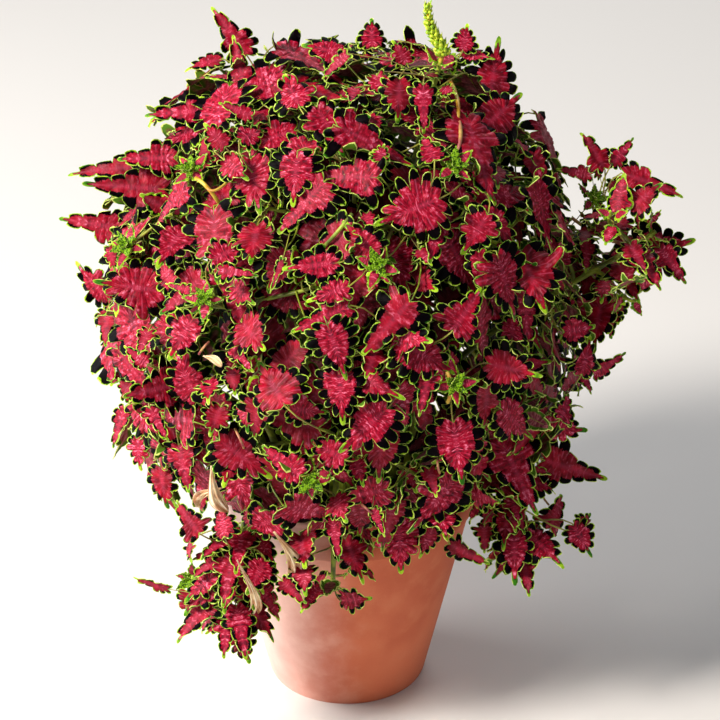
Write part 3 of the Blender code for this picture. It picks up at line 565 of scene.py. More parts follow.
def stemHoles(ends):  # a hole for each stem: the lower its tip, the nearer the pot's wall
    inner, outer, spacing = growth["holesInner"], growth["holesOuter"], growth["holeSpacing"]
    order = sorted(range(len(ends)), key=lambda i: -ends[i].z)
    holes = [None] * len(ends)
    for rank, i in enumerate(order):
        ring = inner + (outer - inner) * math.sqrt((rank + 0.5) / len(ends))
        turn = math.atan2(ends[i].y, ends[i].x)
        holes[i] = Vector((ring * math.cos(turn), ring * math.sin(turn), 0.0))
    for _ in range(60):
        for i, a in enumerate(holes):
            for b in holes[:i]:
                gap = a - b
                if gap.length < spacing:
                    push = gap.normalized() * (spacing - gap.length) * 0.5
                    a += push
                    b -= push
        for a in holes:
            if a.length > outer:
                a *= outer / a.length
    return holes


def stemCurve(hole, tip, swing):  # the four pull points of a stem that rises from its hole and arches to its tip
    up = Vector((0.0, 0.0, 1.0))
    neck = Vector((hole.x, hole.y, soil["top"] + soil["crown"] + growth["neck"]))
    if tip.z < growth["hangBelow"]:
        level = Vector((tip.x, tip.y, 0.0)).normalized()
        riseTo = neck + up * growth["hangRise"]
        arrive = tip + up * growth["hangOver"] - level * growth["hangOut"]
    else:
        lead = (outward(tip) + up * growth["lean"]).normalized()
        reach = (tip - neck).length
        riseTo = neck + up * max(growth["rise"] * reach, growth["leastRise"])
        arrive = tip - lead * (growth["arrive"] * reach)
    turn = Matrix.Rotation(swing, 3, "Z")
    return neck, turn @ riseTo, turn @ arrive, tip


def stemPath(hole, curve, steps):
    foot = Vector((hole.x, hole.y, soil["top"] - soil["holeDepth"]))
    return [foot] + [bezier(*curve, k / steps) for k in range(steps + 1)]


def taper(count, first, last):
    return [first + (last - first) * k / (count - 1) for k in range(count)]


def samples(points, start):  # spots every few millimetres along a path, each with its direction
    found = []
    length = sum((b - a).length for a, b in zip(points, points[1:]))
    passed = 0.0
    for a, b in zip(points, points[1:]):
        step = (b - a).length
        count = max(int(step / growth["spotStep"]), 1)
        for k in range(count):
            if (passed + step * k / count) / length >= start:
                found.append((a.lerp(b, k / count), (b - a).normalized()))
        passed += step
    return found


def nearPot(spot, clear):  # at the pot's collar, where nothing grows
    return spot.z < pot["height"] + clear[0] and Vector((spot.x, spot.y)).length < pot["rimRadius"] + clear[1]


def growStems(bed):
    special = list(tips.values()) + [planeSpot(spike["spots"][0], spike["y"])]
    ends = list(special)
    for spot in evenSpots(growth["evenStems"], growth["stemReach"]):
        way = (spot - crownCentre).normalized()
        near = any(way.angle((tip - crownCentre).normalized()) < growth["stemApart"] for tip in special)
        if not near and not nearPot(spot, growth["stemClear"]):
            ends.append(spot)
    stems = []
    holes = stemHoles(ends)
    foot, end, skin = growth["stemFoot"], growth["stemTip"], growth["skin"]
    for hole, tip in zip(holes, ends):
        for swing in growth["swings"]:
            curve = stemCurve(hole, tip, swing)
            points = stemPath(hole, curve, growth["stemSteps"])
            radii = [foot] + taper(len(points) - 1, foot, end)
            solid = bar(points[1:], [r + skin for r in radii[1:]])
            if not bed.meets(solid):
                break
        else:
            continue
        name = f"leafy_stem_{len(stems) + 1:02d}"
        bed.add(solid, name)
        fine = stemPath(hole, curve, growth["stemSteps"] * growth["fineSteps"])
        stems.append({"name": name, "tip": tip, "points": points, "roots": [],
                      "spots": samples(points, growth["stemSpots"]),
                      "shoots": [(tip, (points[-1] - points[-2]).normalized())],
                      "lines": [(fine, [foot] + taper(len(fine) - 1, foot, end), 0.0)],
                      "leaves": [], "cost": 0})
        stems[-1]["cost"] = triangles(bar(points, radii))
    return stems


def triangles(solid):  # a plain solid's triangles, with what joining it costs
    return sum(len(face) - 2 for face in solid[1]) + growth["joinCost"]


def growShoots(stems, bed):
    ends = evenSpots(growth["shoots"], growth["shootReach"])
    ends += [tips["right"] + Vector(step) for step in rightShoots]
    skin = growth["skin"]
    for end in ends:
        if nearPot(end, growth["shootClear"]):
            continue
        for stem in sorted(stems, key=lambda stem: (stem["tip"] - end).length)[:2]:
            spot, lead = min(stem["spots"], key=lambda place: abs((place[0] - end).length - growth["shootBest"])
                             + 0.3 * (place[0] - end).length - 30.0 * place[1].dot((end - place[0]).normalized()))
            reach = (end - spot).length
            if not growth["shootLeast"] <= reach <= growth["shootMost"]:
                continue
            out = (outward(end) + Vector((0.0, 0.0, 0.5))).normalized()
            pull = growth["shootPull"]
            curve = (spot, spot + lead * reach * pull, end - out * reach * pull, end)
            points = [bezier(*curve, t) for t in (0.0, 0.5, 1.0)]
            thick = taper(3, growth["shoot"], growth["shootTip"])
            solid = bar(points, [r + skin for r in thick], 3)
            if bed.meets(solid, stem["name"]):
                continue
            if bed.meets(bar(points[1:], [r + skin for r in thick[1:]], 3), stem["name"], others=False):
                continue
            bed.add(solid, stem["name"])
            stem["cost"] += triangles(bar(points, thick, 3))
            stem["roots"].append(spot)
            stem["spots"] += samples(points, growth["shootSpots"])
            stem["shoots"].append((end, (points[-1] - points[-2]).normalized()))
            fine = [bezier(*curve, k / 8.0) for k in range(9)]
            stem["lines"].append((fine, taper(9, growth["shoot"], growth["shootTip"]), growth["shootHue"]))
            break


def crossesItself(solid):
    tree = BVHTree.FromPolygons(*solid)
    return any(not set(solid[1][a]) & set(solid[1][b]) for a, b in tree.overlap(tree))


def tryLeaf(bed, leaf, stem, skin):  # takes a leaf in where it is clear of all else
    if crossesItself(leafPlate(leaf)):
        return False
    if bed.meets(leafPlate(leaf, skin), stem["name"]):
        return False
    if bed.meets(leafPlate(leaf, skin, growth["stalkSunk"]), stem["name"], others=False):
        return False
    bed.add(leafPlate(leaf, skin), stem["name"])
    stem["cost"] += triangles(leafPlate(leaf))
    stem["roots"].append(leaf["root"])
    stem["leaves"].append(leaf)
    return True


def changeWays():  # ways to bend a leaf clear, the least first: shift out, roll, pitch and size
    small, moved, rolled, pitched = growth["costs"]
    return sorted(((1.0 - size) * small + abs(shift) / moved + abs(roll) * rolled + abs(pitch) * pitched,
                   shift, roll, pitch, size)
                  for size in growth["sizes"] for shift in growth["shifts"]
                  for roll in growth["tilts"] for pitch in growth["tilts"])


allWays = changeWays()


def takeLeaf(bed, spots, middle, axis, face, width, length, ruffle, skin=growth["skin"]):
    # Bends one leaf clear and seats its stalk on the best of the nearest stems
    wanted = middle - axis * (growth["bladeMiddle"] * length + growth["seatBack"]) - face * growth["seatUnder"]
    near = sorted(spots, key=lambda place: (place[0] - wanted).length)
    tried = []
    for spot, stem in near:
        if (spot - wanted).length > growth["mostStalk"] or len(tried) == growth["mostSeats"]:
            break
        if any((spot - root).length < growth["rootSpacing"] for root in stem["roots"]):
            continue
        if any((spot - seat).length < growth["seatSpacing"] for seat in tried):
            continue
        tried.append(spot)
        for _, shift, roll, pitch, size in allWays:
            up = Matrix.Rotation(roll, 3, axis) @ face
            across = up.cross(axis)
            turn = Matrix.Rotation(pitch, 3, across)
            way, up = turn @ axis, turn @ up
            base = middle + up * shift - way * (growth["bladeMiddle"] * length * size)
            leaf = newLeaf(base, way, up, spot, width * size, length * size, ruffle)
            if tryLeaf(bed, leaf, stem, skin):
                return leaf
    return None


def readRow(row):  # a leaf's middle, way, face and size from its row of the front view
    u0, v0, u1, v1, wide, back = row
    middle = crownSpot(((u0 + u1) / 2.0, (v0 + v1) / 2.0), back)
    toEye = (eye - middle).normalized()
    ray = sight(((u0 + u1) / 2.0, (v0 + v1) / 2.0))
    far = (middle - eye).length
    drawn = sight((u1, v1)) - sight((u0, v0))
    drawn = (drawn - ray * drawn.dot(ray)) * far
    width = wide * far / view["reachPx"]
    length = max(drawn.length, 1.02 * width)
    share = min(drawn.length / length, 1.0)
    down = 1.0 if v1 >= v0 else -0.6
    axis = (drawn.normalized() * share + toEye * (down * math.sqrt(1.0 - share * share))).normalized()
    face = squareTo(axis, outward(middle) * 0.7 + toEye * 0.9)
    return middle, axis, face, width, length


def allSpots(stems):
    return [(spot, stem) for stem in stems for spot, _ in stem["spots"]]


def frontLeaves(stems, bed, draw):  # the leaves of the front view, the widest first; returns the rows left over
    rows = sorted((row for rows in frontRows.values() for row in rows), key=lambda row: -row[4])
    spots = allSpots(stems)
    leftOver = []
    for row in rows:
        ruffle = (draw.uniform(0.05, 0.22), draw.uniform(-0.3, 0.1), draw.uniform(0.08, 0.16))
        if row[4] < growth["leastWidth"] or not takeLeaf(bed, spots, *readRow(row), ruffle):
            leftOver.append((row, ruffle))
    return leftOver


def pairedLeaves(stems, bed, draw):  # opposite pairs below each shoot's tip, from the back of the crown forward
    ends = [(tip, lead, stem) for stem in stems for tip, lead in stem["shoots"]]
    ends.sort(key=lambda end: -end[0].y)
    for below, wide, stalk, twist in growth["pairs"]:
        for tip, lead, stem in ends:
            quarter = draw.uniform(0.0, math.pi)
            for side in (0.0, math.pi):
                ruffle = (draw.uniform(0.06, 0.2), draw.uniform(-0.25, 0.1), draw.uniform(0.08, 0.15))
                width = wide * draw.uniform(0.86, 1.1)
                if sum(stem["cost"] for stem in stems) >= growth["budget"]:
                    return
                turn = quarter + side + twist * math.pi
                roundLead = Matrix.Rotation(turn, 3, lead) @ squareTo(lead, Vector((0.3, 0.2, 1.0)))
                root = tip - lead * below
                out = outward(tip)
                axis = roundLead + lead * 0.25
                droop = Vector((0.0, 0.0, growth["pairDroop"]))
                axis = (axis - out * (growth["pairFlat"] * axis.dot(out)) - droop).normalized()
                face = squareTo(axis, out + Vector((0.0, 0.0, 0.4)))
                length = width * draw.uniform(1.15, 1.35)
                middle = onSkin(root + axis * (stalk + growth["bladeMiddle"] * length), growth["pairReach"])
                own = [(spot, stem) for spot, _ in stem["spots"] if (spot - root).length < 12.0 + below * 0.3]
                if own:
                    takeLeaf(bed, own, middle, axis, face, width, length, ruffle)


def nodeSolid(name):  # a CAD node's own triangles, in millimetres
    mesh = frame["nodes"][name].data
    return [v.co / mm for v in mesh.vertices], [tuple(p.vertices) for p in mesh.polygons]


# Leaves that the solids leave out: small ones, the growing tips, and leaves wherever the crown is still open

filling = {
    # how far out from the crown's middle, spots tried, start turn, least and most width
    "layers": [(0.97, 280, 0.0, 46.0, 76.0), (0.93, 320, 1.1, 48.0, 76.0), (0.86, 300, 2.3, 50.0, 72.0),
               (0.78, 240, 3.1, 50.0, 72.0), (0.67, 180, 4.0, 52.0, 74.0), (0.52, 110, 5.2, 56.0, 76.0)],
    "ways": 60, "shrunk": 0.84, "behind": 8.0, "ahead": 120.0, "root": 100.0, "deep": 0.84,
    "shade": 3.4,             # how fast painted shade darkens the leaves into the crown
    "top": 1.0, "uneven": 0.055, "lumps": 0.011,   # highest ring; how lumpy the crown is, and lumps in a millimetre
    "tipPairs": [(16.0, 25.0, 0.35, 7.0), (6.0, 15.0, 0.8, 3.0)],  # below the tip, width, rise, stalk, in mm
}


rosettes = {
    "spots": [(190, 168), (455, 165), (595, 198), (125, 245), (205, 298), (378, 265), (455, 385), (310, 480),
              (190, 580)],
    "back": -3.0,
    # Below the tip, width, rise, stalk and how young, for four leaves each, in mm
    "rings": [(5.0, 13.0, 0.25, 3.0, 0.9), (2.0, 9.5, 0.6, 1.5, 1.0), (0.0, 6.0, 1.4, 0.5, 1.0)],
}
sprigs = {"shoots": {"left trail": 90, "front trail": 14, "right trail": 70, "right": 60},  # tries on each
          "reach": 105.0, "least": 28.0, "most": 48.0}


def smallLeaves(stems, bed, leftOver):
    rows = leftOver + [(row, (0.1, -0.15, 0.1)) for row in smallRows]
    spots = allSpots(stems)
    taken = [takeLeaf(bed, spots, *readRow(row), ruffle, skin=0.0) for row, ruffle in rows]
    return len(rows), sum(leaf is not None for leaf in taken)


def growingTips(stems, bed, draw):  # two pairs of young leaves at the end of each shoot
    count = 0
    for stem in stems:
        for tip, lead in stem["shoots"]:
            quarter = draw.uniform(0.0, math.pi)
            for order, (below, wide, steep, stalk) in enumerate(filling["tipPairs"]):
                for side in (0.0, math.pi):
                    roundLead = Matrix.Rotation(quarter + side + order * 0.5 * math.pi, 3, lead)
                    roundLead = roundLead @ squareTo(lead, Vector((0.3, 0.2, 1.0)))
                    axis = (roundLead + lead * steep).normalized()
                    face = squareTo(axis, lead)
                    width = wide * draw.uniform(0.8, 1.2)
                    root = tip - lead * below
                    leaf = newLeaf(root + axis * stalk, axis, face, root, width, width * draw.uniform(1.2, 1.5),
                                   (0.1, -0.3, 0.1))
                    if bed.meets(leafPlate(leaf), stem["name"]):
                        continue
                    bed.add(leafPlate(leaf), stem["name"])
                    leaf["young"] = 0.45 + 0.45 * order
                    stem["leaves"].append(leaf)
                    count += 1
    return count


def budRosettes(stems, draw):  # lime growing points that show from the front, each on a short shoot
    spots = allSpots(stems)
    for spot in rosettes["spots"]:
        middle = crownSpot(spot, rosettes["back"])
        lead = (outward(middle) * 0.7 + (eye - middle).normalized() * 0.5 + Vector((0.0, 0.0, 0.3))).normalized()
        root, stem = min(spots, key=lambda place: (place[0] - middle + lead * 30.0).length)
        curve = (root, root + lead * 12.0, middle - lead * 12.0, middle)
        stem["lines"].append(([bezier(*curve, k / 8.0) for k in range(9)], taper(9, 1.8, 1.3), 0.3))
        quarter = draw.uniform(0.0, math.pi)
        for order, (below, wide, steep, stalk, young) in enumerate(rosettes["rings"]):
            for side in range(4):
                turn = quarter + 0.5 * math.pi * side + 0.8 * order
                roundLead = Matrix.Rotation(turn, 3, lead) @ squareTo(lead, Vector((0.3, 0.2, 1.0)))
                axis = (roundLead + lead * (steep + draw.uniform(-0.15, 0.15))).normalized()
                width = wide * draw.uniform(0.75, 1.2)
                start = middle - lead * below
                leaf = newLeaf(start + axis * stalk, axis, squareTo(axis, lead), start, width,
                               width * draw.uniform(1.3, 1.8), (0.15, -0.4, 0.15))
                leaf["young"] = young
                stem["leaves"].append(leaf)


def sprigLeaves(stems, draw):  # leaves that clothe the shoots which hang down or reach out of the crown
    blades = Bed()
    for stem in stems:
        for leaf in stem["leaves"]:
            blades.add(shrunkBlade(leaf), "leaf")
    for name in ("pot", "compost"):
        blades.add(nodeSolid(name), name)
    taken = 0
    for name, tries in sprigs["shoots"].items():
        tip = tips[name]
        stem = min(stems, key=lambda stem: (stem["tip"] - tip).length)
        near = [place for place in stem["spots"] if (place[0] - tip).length < sprigs["reach"]]
        for _ in range(tries):
            root, lead = draw.choice(near)
            turn = Matrix.Rotation(draw.uniform(0.0, 2.0 * math.pi), 3, lead)
            out = turn @ squareTo(lead, Vector((1.0, 0.2, 0.1)))
            width = draw.uniform(sprigs["least"], sprigs["most"])
            length = width * draw.uniform(1.1, 1.4)
            axis = (out + lead * 0.3 - Vector((0.0, 0.0, draw.uniform(0.2, 0.9)))).normalized()
            face = squareTo(axis, out + Vector((0.0, -0.5, 0.7)))
            base = root + out * draw.uniform(6.0, 20.0) + axis * 4.0
            ruffle = (draw.uniform(0.1, 0.3), draw.uniform(-0.3, 0.1), draw.uniform(0.08, 0.16))
            leaf = newLeaf(base, axis, face, root, width, length, ruffle)
            if not blades.meets(shrunkBlade(leaf)) and not blades.meets(leafPlate(leaf), "leaf"):
                blades.add(shrunkBlade(leaf), "leaf")
                leaf["deep"] = False
                stem["leaves"].append(leaf)
                taken += 1
    return taken


def shrunkBlade(leaf):  # the blade without its outermost edge, which may touch its neighbours
    size = filling["shrunk"]
    middle = leaf["base"] + leaf["axis"] * (leaf["length"] * 0.5 * (1.0 - size))
    return leafPlate(dict(leaf, base=middle, width=leaf["width"] * size, length=leaf["length"] * size), start=1.0)


def joined(solids):  # many solids as one search tree
    verts, faces = [], []
    for points, sides in solids:
        first = len(verts)
        verts += points
        faces += [tuple(first + i for i in side) for side in sides]
    return BVHTree.FromPolygons(verts, faces)


def fillLeaves(stems, draw):  # layer by layer inward, a leaf wherever nothing yet covers the crown
    spots = allSpots(stems)
    blades = Bed()
    for stem in stems:
        for leaf in stem["leaves"]:
            blades.add(leafPlate(leaf, start=1.0), "leaf")
    for name in ("pot", "compost"):
        blades.add(nodeSolid(name), name)
    counts = []
    for reach, number, start, least, most in filling["layers"]:
        shell = joined(leafPlate(leaf, start=1.0) for stem in stems for leaf in stem["leaves"])
        taken = 0
        for spot in evenSpots(number, reach, start, filling["top"]):
            lump = perlin.noise(spot * filling["lumps"])
            spot = crownCentre + (spot - crownCentre) * (1.0 - filling["uneven"] * (0.6 + 1.6 * lump))
            width = draw.uniform(least, most)
            length = width * draw.uniform(1.05, 1.4)
            turn, lean = draw.gauss(0.0, 0.9), draw.uniform(-0.2, 0.35)
            ruffle = (draw.uniform(0.06, 0.22), draw.uniform(-0.3, 0.1), draw.uniform(0.08, 0.16))
            if spot.z < pot["height"] + 18.0 and Vector((spot.x, spot.y)).length < pot["rimRadius"] + 12.0:
                continue
            out = outward(spot)
            if shell.ray_cast(spot - out * filling["behind"], out, filling["ahead"])[0]:
                continue
            downhill = squareTo(out, Vector((0.0, 0.0, -1.0)) + out * 0.01)
            axis = (Matrix.Rotation(turn, 3, out) @ downhill + out * lean).normalized()
            face = squareTo(axis, out + Vector((0.0, 0.0, 0.45)))
            for _, shift, roll, pitch, size in allWays[:filling["ways"]]:
                up = Matrix.Rotation(roll, 3, axis) @ face
                tip = Matrix.Rotation(pitch, 3, up.cross(axis))
                way, up = tip @ axis, tip @ up
                base = spot + up * shift - way * (growth["bladeMiddle"] * length * size)
                leaf = newLeaf(base, way, up, base, width * size, length * size, ruffle)
                if not blades.meets(shrunkBlade(leaf)):
                    wanted = base - way * 12.0 - up * 18.0
                    root, stem = min(spots, key=lambda place: (place[0] - wanted).length)
                    if (root - base).length < filling["root"]:
                        leaf["root"] = root
                        leaf["deep"] = reach < filling["deep"]
                        # painted shade: the deeper its layer, the darker a leaf is painted
                        leaf["shade"] = min((1.0 - reach) * filling["shade"], 0.88)
                        stem["leaves"].append(leaf)
                        blades.add(leafPlate(leaf, start=1.0), "leaf")
                        taken += 1
                    break
        counts.append(taken)
    return counts


def growPlant():
    draw = random.Random(seed)
    bed = Bed()
    bed.add(nodeSolid("pot"), "pot")
    stems = growStems(bed)
    bed.add(nodeSolid("compost"), "compost")
    bed.add(nodeSolid("flower_spike"), "flower_spike")
    growShoots(stems, bed)
    leftOver = frontLeaves(stems, bed, draw)
    pairedLeaves(stems, bed, draw)
    shared = sum(len(stem["leaves"]) for stem in stems)
    print("stems", len(stems), "leaves shared with the solids", shared)
    print("small leaves", smallLeaves(stems, bed, leftOver))
    fine = random.Random(seed + 1)
    print("young leaves", growingTips(stems, bed, fine))
    print("leaves on hanging shoots", sprigLeaves(stems, fine))
    print("leaves that fill the crown", fillLeaves(stems, fine))
    budRosettes(stems, fine)
    return stems


# Fine leaves

leafLook = {
    # The lobes of one side, from the stalk to the tip: along the leaf and out from the midrib,
    # where the rays of the blade start on the midrib and how far they follow the lobes along it
    "fan": {"hub": 0.38, "follow": 0.36, "depth": 0.45, "stalk": 0.05,
            "lobes": [(-0.06, 0.50), (0.04, 0.92), (0.25, 1.06), (0.46, 0.94), (0.64, 0.64), (0.80, 0.36)]},
    "round": {"hub": 0.38, "follow": 0.38, "depth": 0.42, "stalk": 0.05,
              "lobes": [(-0.04, 0.46), (0.06, 0.88), (0.30, 1.02), (0.55, 0.80), (0.77, 0.44)]},
    "strap": {"hub": 0.30, "follow": 0.80, "depth": 0.44, "stalk": 0.05,
              "lobes": [(-0.06, 0.50), (0.05, 0.94), (0.25, 1.02), (0.44, 0.62), (0.61, 0.38), (0.79, 0.31)]},
    "short strap": {"hub": 0.32, "follow": 0.84, "depth": 0.42, "stalk": 0.05,
                    "lobes": [(-0.04, 0.52), (0.12, 0.98), (0.34, 0.86), (0.56, 0.46), (0.78, 0.36)]},
    "young": {"hub": 0.40, "follow": 0.7, "depth": 0.22, "stalk": 0.02,
              "lobes": [(0.02, 0.66), (0.28, 1.00), (0.52, 0.80), (0.76, 0.46)]},
    # Samples in a lobe, rings inside the notches and rings out to the lobes' edge, by how large a leaf is
    "detail": {"hero": (7, (0.55, 1.0), (0.36, 0.70, 1.0)),
               "plain": (5, (1.0,), (0.5, 1.0)),
               "little": (4, (1.0,), (1.0,))},
    "broad": 50.0, "heroWidth": 50.0, "plainWidth": 24.0,
    "thickness": 0.34,        # half of the blade, in mm
    "hollow": 0.88,           # where a lobe starts to bend, as a share of its notch's reach
    "curled": 0.13,           # the share of lobes that fold right over
    "thumb": 0.24,            # how much wider a lobe is than its root
    "patch": (0.53, 0.68),    # where the dark patches start, as a share of the way out to a lobe's top
    "plain": 0.08,            # the share of lobes without a dark patch
}


def lobeRim(kind, length, half, draw):  # tops, notches and midrib starts of all lobes, in mm, laid flat
    form = leafLook[kind]
    hub, follow = form["hub"], form["follow"]
    side = form["lobes"] + [(1.0, 0.0)]
    starts = [hub + (s - hub) * (follow if s > hub else 0.45) for s, w in side]
    starts += starts[-2::-1]
    tops = [(s + draw.uniform(-0.012, 0.012), -w * draw.uniform(0.95, 1.05)) for s, w in form["lobes"]]
    tops += [(1.0, 0.0)]
    tops += [(s + draw.uniform(-0.012, 0.012), w * draw.uniform(0.95, 1.05)) for s, w in reversed(form["lobes"])]
    scale = np.array((length, half))
    tops, starts = np.array(tops) * scale, np.array(starts) * length
    between = 0.5 * (starts[1:] + starts[:-1])
    first = starts[0] - 0.06 * length
    cutStarts = np.concatenate([[first], between, [first]])
    feet = np.stack([between, 0.0 * between], axis=1)
    depth = form["depth"] * np.array([draw.uniform(0.8, 1.2) for _ in between])
    notches = feet + (0.5 * (tops[1:] + tops[:-1]) - feet) * (1.0 - depth)[:, None]
    heel = np.array([[form["stalk"] * length, 0.0]])
    return tops, np.vstack([heel, notches, heel]), starts, cutStarts


def fineLeaf(leaf, draw):  # a lobed, ruffled blade as a thin closed solid: points, triangles and pattern values
    width, length, half = leaf["width"], leaf["length"], leaf["width"] / 2.0
    young = leaf.get("young", 0.0)
    long = draw.random() < 0.34 + 1.1 * (length / width - 1.1)
    if young > 0.0:
        kind = "young"
    elif width >= leafLook["broad"]:
        kind = "strap" if long else "fan"
    else:
        kind = "short strap" if long else "round"
    detail = "hero" if width >= leafLook["heroWidth"] else "plain" if width >= leafLook["plainWidth"] else "little"
    if "deep" in leaf and detail == "hero":
        detail = "plain"
    if leaf.get("deep"):
        detail = "little"
    count, inner, outer = leafLook["detail"][detail]
    tops, cuts, starts, cutStarts = lobeRim(kind, length, half, draw)
    number = len(tops)
    middle = number // 2
    u = np.arange(count) / count
    bulge = np.sin(math.pi * u)
    near, far = cuts[:-1, None, :], cuts[1:, None, :]
    centre, spread = 0.5 * (near + far), 0.5 * (far - near)
    across = (-np.cos(math.pi * u))[None, :, None]
    thumb = across * (1.0 + leafLook["thumb"] * bulge)[None, :, None]
    ends = (centre + spread * thumb + (tops[:, None, :] - centre) * (bulge ** 0.6)[None, :, None]).reshape(-1, 2)
    neck = (centre + spread * across).reshape(-1, 2)
    rising = np.where(u < 0.5, 2.0 * u, 2.0 - 2.0 * u)[None, :]
    side = np.where(u[None, :] < 0.5, cutStarts[:-1, None], cutStarts[1:, None])
    begin = (side + (starts[:, None] - side) * rising).ravel()
    columns = len(ends)
    mid = np.stack([begin, np.zeros(columns)], axis=1)
    hollow = mid + (neck - mid) * leafLook["hollow"]
    lobe = np.repeat(np.arange(number), count)
    slide = np.tile(u, number)
    # Rings from the midrib out: inside the notches, then along the lobes, which bend on a circle
    flat = [mid + (hollow - mid) * t for t in inner] + [hollow + (ends - hollow) * t for t in outer]
    past = [np.zeros(columns) for _ in inner] + [np.linalg.norm((ends - hollow) * t, axis=1) for t in outer]
    flat, past = np.array(flat), np.array(past)
    reach = np.linalg.norm(tops - 0.5 * (cuts[1:] + cuts[:-1]), axis=1) + 0.12 * half
    curl = np.array([draw.uniform(1.5, 2.6) if draw.random() < leafLook["curled"] else -draw.uniform(0.1, 1.15)
                     for _ in range(number)])
    curl[middle] = -draw.uniform(0.1, 0.7)
    bend = (np.abs(curl) / reach)[lobe]
    outward2 = (ends - hollow) / np.maximum(np.linalg.norm(ends - hollow, axis=1), 1e-6)[:, None]
    bentFlat = np.where(past[..., None] > 0.0, hollow + outward2 * (np.sin(past * bend) / bend)[..., None], flat)
    share = past / reach[lobe]
    swing = np.array([draw.uniform(0.1, 0.75) for _ in range(number)]) * np.where(tops[:, 1] < 0.0, 1.0, -1.0)
    lateral = np.linalg.norm(spread[:, 0], axis=1)[lobe] * np.tile((thumb[0, :, 0]), number)
    x, y = bentFlat[..., 0], bentFlat[..., 1]
    s, w = x / length, y / half
    polar = np.arctan2(y, x - leafLook[kind]["hub"] * length)
    height = -leaf["curl"] * length * np.clip(s, 0.0, 2.0) ** 2 + leaf["cup"] * half * w * w
    height += np.sign(curl)[lobe] * (1.0 - np.cos(past * bend)) / bend
    height += swing[lobe] * lateral * share
    height += leaf["wave"] * half * np.where(lobe % 2 == 0, 0.9, -0.5) * share
    height += 0.16 * half * w * w * np.sin(3.0 * polar + draw.uniform(0, 6)) * draw.uniform(0.3, 1.0)
    span = np.linalg.norm(flat - mid, axis=2)
    total = np.linalg.norm(tops - np.stack([starts, 0 * starts], axis=1), axis=1)
    along = np.clip(span / total[lobe], 0.0, 1.0)
    height += half * along * (0.05 * np.sin(math.pi * slide) + 0.02 * np.abs(np.sin(2.0 * math.pi * slide)))
    height += 0.03 * half * np.sin(x * 0.45 + draw.uniform(0, 6)) * np.sin(y * 0.5 + draw.uniform(0, 6))
    # Distance from the edge, and how far past the start of each lobe's dark patch, in mm
    rim = np.vstack([ends, 0.5 * (ends + np.roll(ends, -1, axis=0))])
    gaps = np.linalg.norm(flat[:, :, None, :] - rim[None, None, :, :], axis=3).min(axis=2)
    gaps[-1] = 0.0
    inset = draw.uniform(*leafLook["patch"])
    dark = np.array([inset + draw.uniform(-0.05, 0.06) if draw.random() > leafLook["plain"] else 1.3
                     for _ in range(number)])
    dark[middle] = 1.3 if draw.random() < 0.5 else 0.86
    patch = span - (dark * total)[lobe]
    tip = np.where(lobe == middle, share, 0.0)
    if kind in ("strap", "short strap"):
        tip = np.maximum(tip, np.where(np.abs(lobe - middle) == 1, 0.35 * share, 0.0))
    # The midrib's points are shared by both sides of the blade
    j = np.arange(columns)
    ribId = np.minimum(j, columns - j)
    ribs = columns // 2 + 1
    ribX = begin[:ribs]
    ribZ = -leaf["curl"] * length * (ribX / length) ** 2 - 0.25
    points = np.vstack([np.stack([ribX, 0.0 * ribX, ribZ], axis=1),
                        np.stack([x.ravel(), y.ravel(), height.ravel()], axis=1)])
    after = (j + 1) % columns
    tris = [np.stack([ribId, ribs + j, ribs + after], axis=1),
            np.stack([ribId, ribs + after, ribId[after]], axis=1)]
    for ring in range(len(flat) - 1):
        a, b = ribs + ring * columns + j, ribs + ring * columns + after
        tris += [np.stack([a, a + columns, b + columns], axis=1), np.stack([a, b + columns, b], axis=1)]
    tris = np.vstack(tris)
    crossed = np.cross(points[tris[:, 1]] - points[tris[:, 0]], points[tris[:, 2]] - points[tris[:, 0]])
    normals = np.zeros_like(points)
    for corner in range(3):
        for axis in range(3):
            normals[:, axis] += np.bincount(tris[:, corner], crossed[:, axis], len(points))
    normals /= np.maximum(np.linalg.norm(normals, axis=1), 1e-9)[:, None]
    shells = np.vstack([points + normals * leafLook["thickness"], points - normals * leafLook["thickness"]])
    turn = np.array([leaf["axis"], leaf["face"].cross(leaf["axis"]), leaf["face"]])
    shells = np.array(leaf["base"]) + shells @ turn
    full = len(points)
    rimNow, rimNext = ribs + (len(flat) - 1) * columns + j, ribs + (len(flat) - 1) * columns + after
    faces = np.vstack([tris, tris[:, ::-1] + full, np.stack([rimNow, rimNow + full, rimNext + full], axis=1),
                       np.stack([rimNow, rimNext + full, rimNext], axis=1)])

    def spreadOut(values, rib):
        return np.concatenate([np.full(ribs, rib), np.broadcast_to(values, flat.shape[:2]).ravel()])

    folded = np.minimum(lobe + slide, number - lobe - slide)
    fold = np.concatenate([folded[:ribs], np.broadcast_to(folded, flat.shape[:2]).ravel()])
    pattern = np.stack([spreadOut(gaps, 20.0), spreadOut(patch, -12.0), spreadOut(tip, 0.0)], axis=1)
    coords = np.stack([fold, spreadOut(span, 0.0), np.full(full, draw.uniform(0, 50))], axis=1)
    tint = leaf.get("tint", draw.random())
    above = np.stack([np.full(full, tint), np.full(full, young), np.zeros(full)], axis=1)
    kinds = np.vstack([above, above + np.array([0.0, 0.0, 1.0])])
    shade = np.full(2 * full, leaf.get("shade", 0.0))
    return shells, faces, np.tile(pattern, (2, 1)), np.tile(coords, (2, 1)), kinds, shade


